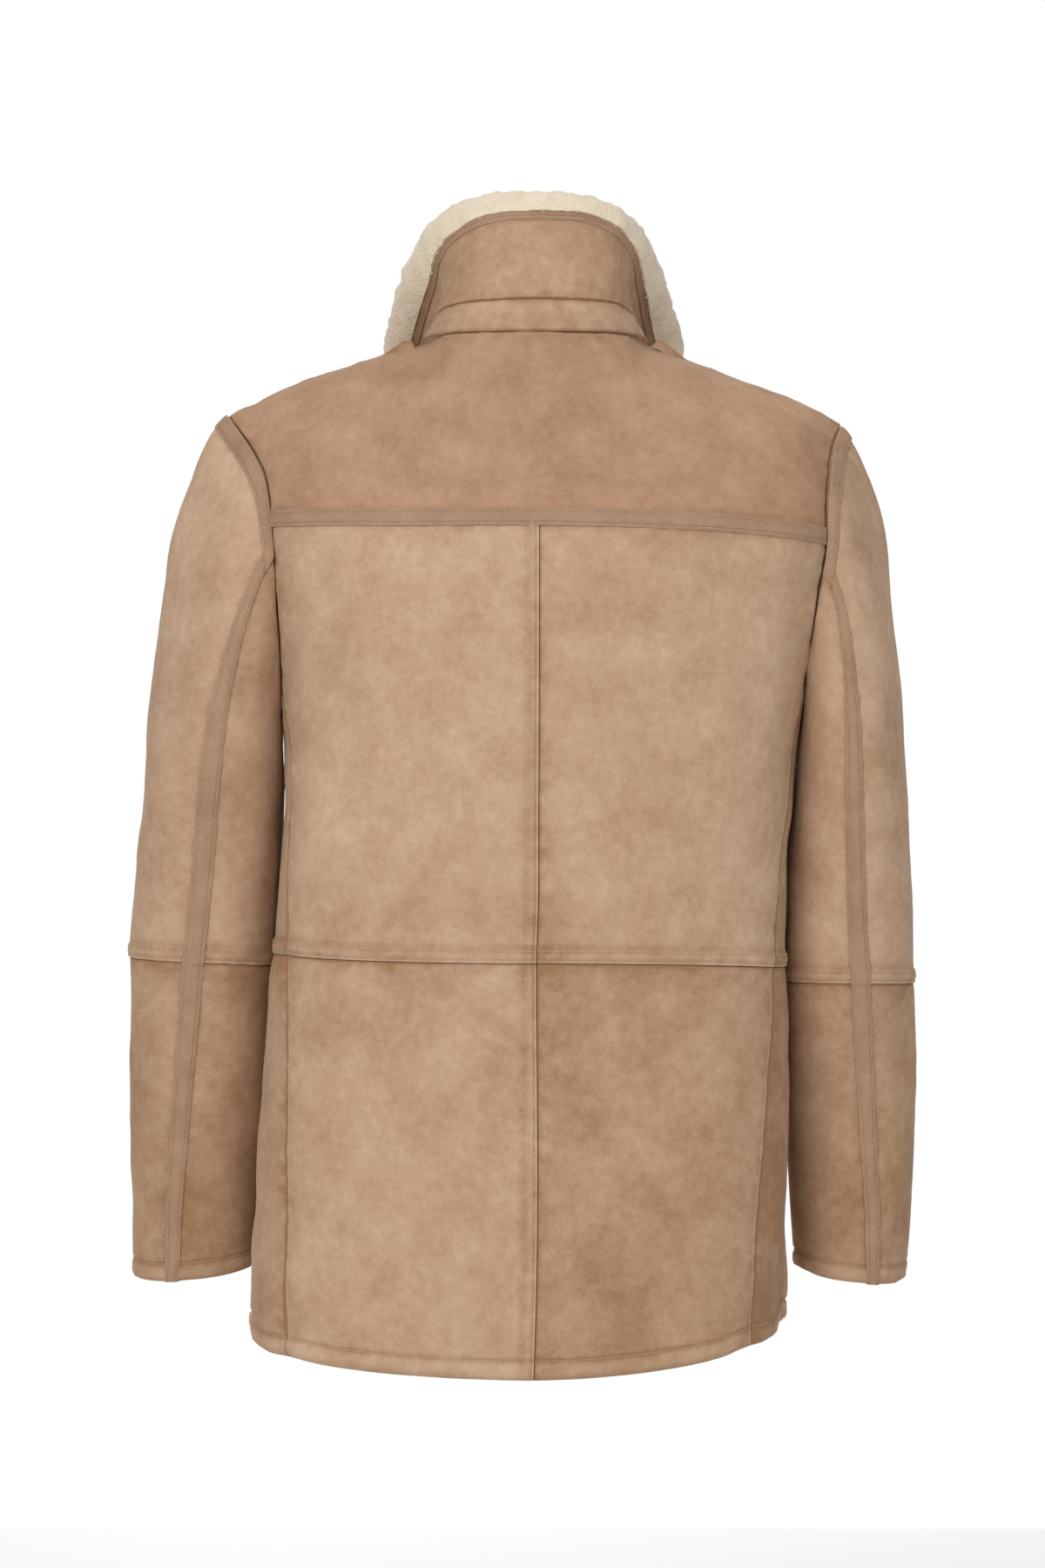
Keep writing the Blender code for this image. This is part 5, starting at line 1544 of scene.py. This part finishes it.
WAIST_ROWS = (2.2, LAP - 1.8)
for name in ("back_left", "back_right", "side_left", "side_right", "front_left", "front_right"):
    for away in WAIST_ROWS:
        stitch_path(name, "bottom", away)
for word in ("left", "right"):
    for name in ("topsleeve", "undersleeve"):
        for away in WAIST_ROWS:
            stitch_path(f"{name}_upper_{word}", "bottom", away)
        stitch_path(f"{name}_lower_{word}", "bottom", 14.0)
    to_front, to_back = ("left", "right") if word == "left" else ("right", "left")
    for name in ("skirt_back", "skirt_side", "skirt_front"):
        stitch_path(f"{name}_{word}", "bottom", 14.5)
    for name in ("back", "skirt_back"):
        stitch_path(f"{name}_{word}", to_front, 3.6, first=0.33 if name == "back" else 0.0)
    stitch_path(f"front_{word}", to_front, 7.0)
    stitch_path(f"skirt_front_{word}", to_front, 7.0)
    stitch_path(f"front_{word}", to_back, 3.6, first=0.42)
    stitch_path(f"skirt_side_{word}", to_front, 7.0)
    stitch_path(f"skirt_front_{word}", to_back, 7.0)
    for edge in ("top", "bottom"):
        stitch_path(f"armhole_tape_{word}", edge, 2.0)
    for edge in ("left", "right"):
        stitch_path(f"sleeve_tape_{word}", edge, 2.0)
for name in ("back_left", "skirt_back_left"):
    stitch_path(name, "right", 5.8)
for edge in ("top", "bottom"):
    stitch_path("yoke_tape", edge, 2.0)
stitch_path("back_yoke", "top", 2.6)
stitch_path("collar_fall", "bottom", 2.2)
stitch_path("collar_edge_tape", "bottom", 2.0)

stitches = Tree("stitches", [
    ("Pitch", "Float", 0.0025), ("Length", "Float", 0.0019), ("Thread", "Float", 0.00085), ("Seed", "Int", 1),
])
given = stitches.given
lines = stitches.node("GeometryNodeMeshToCurve", {0: given["Base"]})
even = stitches.node(
    "GeometryNodeResampleCurve", {"Curve": lines[0], "Length": given["Pitch"]}, mode="LENGTH"
)
tangent = stitches.node("GeometryNodeInputTangent")
way_out = stitches.node("GeometryNodeInputNamedAttribute", {"Name": "out"}, data_type="FLOAT_VECTOR")
frame_at = stitches.node(
    "FunctionNodeAxesToRotation", {0: tangent[0], 1: way_out[0]}, primary_axis="X", secondary_axis="Z"
)
uneven = stitches.node(
    "FunctionNodeRandomValue", {0: (0.0, -0.05, -0.1), 1: (0.0, 0.05, 0.1), "Seed": given["Seed"]},
    data_type="FLOAT_VECTOR",
)
lean = stitches.node("FunctionNodeEulerToRotation", {0: uneven[0]})
aim = stitches.node("FunctionNodeRotateRotation", {0: frame_at[0], 1: lean[0]}, rotation_space="LOCAL")
spindle = stitches.node("GeometryNodeMeshUVSphere", {"Segments": 5, "Rings": 3, "Radius": 0.5})
laid = stitches.node("GeometryNodeTransform", {"Geometry": spindle[0], "Rotation": (0.0, 1.5708, 0.0)})
shape = stitches.node("ShaderNodeCombineXYZ", {0: given["Length"], 1: given["Thread"], 2: given["Thread"]})
sewn_on = stitches.node("GeometryNodeInstanceOnPoints", {
    "Points": even[0], "Instance": laid[0], "Rotation": aim[0], "Scale": shape[0],
})
stitches.finish(sewn_on[0], THREAD)


def line_mesh(name, lines, outs):
    """All the paths as loose edges, with the way out at each point."""
    mesh = bpy.data.meshes.new(name)
    edges, start = [], 0
    for line in lines:
        edges += [(start + i, start + i + 1) for i in range(len(line) - 1)]
        start += len(line)
    mesh.from_pydata(np.concatenate(lines) * MM, edges, [])
    way = mesh.attributes.new("out", "FLOAT_VECTOR", "POINT")
    way.data.foreach_set("vector", np.concatenate(outs).astype(np.float32).reshape(-1))
    return mesh


thread = grown("stitching", line_mesh("stitch_paths", paths, path_out), stitches, Seed=3)
join_part(thread)
total = sum(np.linalg.norm(np.diff(line, axis=0), axis=1).sum() for line in paths)
print("stitch rows", len(paths), "and", round(total / 1000, 1), "metres of them")

# %% [markdown]
# The front is closed by five plain horn buttons. Each has a raised rim, a dished middle and four holes, drawn
# as near-black discs of painted shade, and hangs on crossed thread over a buttonhole in the left front, which
# laps over the right.

# %% Buttons
def button_frame(height):
    """The place on the left front under a button, with the way out and the way up there."""
    front = finished["front_left"]
    skirt = finished["skirt_front_left"]
    column = np.searchsorted(body_cloth.column_at, 1)
    points = np.concatenate([made["points"][:, column] for made in (front, skirt)])
    out = np.concatenate([made["out"][:, column] for made in (front, skirt)])
    place = np.array([np.interp(-height, -points[:, 2], points[:, axis]) for axis in range(3)])
    way = np.array([0, *[np.interp(-height, -points[:, 2], out[:, axis]) for axis in (1, 2)]])
    way = unit(way)
    up = np.array([0, -way[2], way[1]]) * np.sign(way[1])
    return place, way, up


# Shares of the radius and heights in millimetres, from the back's middle over the rim to the dished front.
BUTTON_OUTLINE = (
    (0.0, 0.3), (0.88, 0.3), (0.97, 0.8), (1.0, 1.6), (0.97, 2.6), (0.9, 3.2), (0.8, 3.35), (0.7, 3.1),
    (0.62, 2.6), (0.5, 2.35), (0.0, 2.3),
)
HOLE_AT, HOLE_RADIUS = 2.6, 1.15
AROUND = 48


def circle(middle, one, two, radius, count):
    turns = 2 * np.pi * np.arange(count)[:, None] / count
    return middle + (one * np.cos(turns) + two * np.sin(turns)) * radius


class Parts:
    """Points, faces and the kind of each face, gathered for one small mesh."""

    def __init__(self):
        self.points, self.faces, self.kinds = [], [], []

    def tube(self, rings, kind, capped=True):
        """Joins circles of equally many points into a tube."""
        base, count = len(self.points), len(rings[0])
        for ring in rings:
            self.points.extend(ring)
        made = []
        for number in range(len(rings) - 1):
            low = base + number * count
            for step in range(count):
                after = (step + 1) % count
                made.append((low + step, low + after, low + count + after, low + count + step))
        if capped:
            made.append(tuple(range(base, base + count))[::-1])
            made.append(tuple(range(base + count, base + 2 * count)))
        self.faces += made
        self.kinds += [kind] * len(made)

    def rod(self, start, end, radius, kind, sides=10):
        way = unit(end - start)
        one = unit(np.cross(way, (0.3, 0.5, 0.8)))
        two = np.cross(way, one)
        self.tube([circle(place, one, two, radius, sides) for place in (start, end)], kind)


BUTTON_SEAT, DISH = 0.4, 2.33  # the button's back stands off the cloth, and its dished face off its back
HORN_KIND, HOLE_SHADE_KIND, THREAD_KIND = range(3)
THREAD_RADIUS = 0.5
# the holes are not cut through: short near-black rods fill them with painted shade
HOLE_SHADE = plain_material("button_hole_shade", (0.012, 0.008, 0.006), 0.9)
for number, height in enumerate(BUTTON_HEIGHTS, 1):
    name = f"horn_button_{number}"
    place, out, up = button_frame(height)
    across = np.cross(up, out)
    parts = Parts()
    outline = [
        circle(place + out * (high + BUTTON_SEAT), across, up, share * BUTTON_RADIUS, AROUND)
        for share, high in BUTTON_OUTLINE
    ]
    parts.tube(outline, HORN_KIND, capped=False)
    face_at = place + out * (BUTTON_SEAT + DISH)
    corners = [face_at + (across * x + up * z) * HOLE_AT for x, z in ((1, 1), (-1, 1), (-1, -1), (1, -1))]
    for corner in corners:
        parts.rod(corner - out * 1.0, corner + out * 0.03, HOLE_RADIUS, HOLE_SHADE_KIND, sides=14)
    for first, second in ((0, 2), (1, 3)):
        lift = out * (0.45 + 0.25 * first)
        parts.rod(corners[first] + lift, corners[second] + lift, THREAD_RADIUS, THREAD_KIND)
        for corner in (corners[first], corners[second]):
            parts.rod(corner - out * 0.4, corner + lift, THREAD_RADIUS, THREAD_KIND)
    mesh = bpy.data.meshes.new(name)
    mesh.from_pydata(np.array(parts.points) * MM, [], parts.faces)
    for material in (HORN, HOLE_SHADE, THREAD):
        mesh.materials.append(material)
    mesh.polygons.foreach_set("material_index", np.array(parts.kinds, dtype=np.int32))
    mesh.shade_smooth()
    mesh.set_sharp_from_angle(angle=np.radians(35))
    button = bpy.data.objects.new(name, mesh)
    scene.collection.objects.link(button)
    join_part(button, (f"button_{number}",))
print("buttons at", [round(height) for height in BUTTON_HEIGHTS])

# %% [markdown]
# Last, the finished coat's box is printed beside the measured part's. The coat comes out a little larger
# where the wool and the folds stand out.

# %% Measure and finish
made_box = [list(corner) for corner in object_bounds()]
for axis in range(3):
    before = part_box[1][axis] - part_box[0][axis]
    after = made_box[1][axis] - made_box[0][axis]
    print("XYZ"[axis], f"part {before * 1000:.1f} mm, coat {after * 1000:.1f} mm")
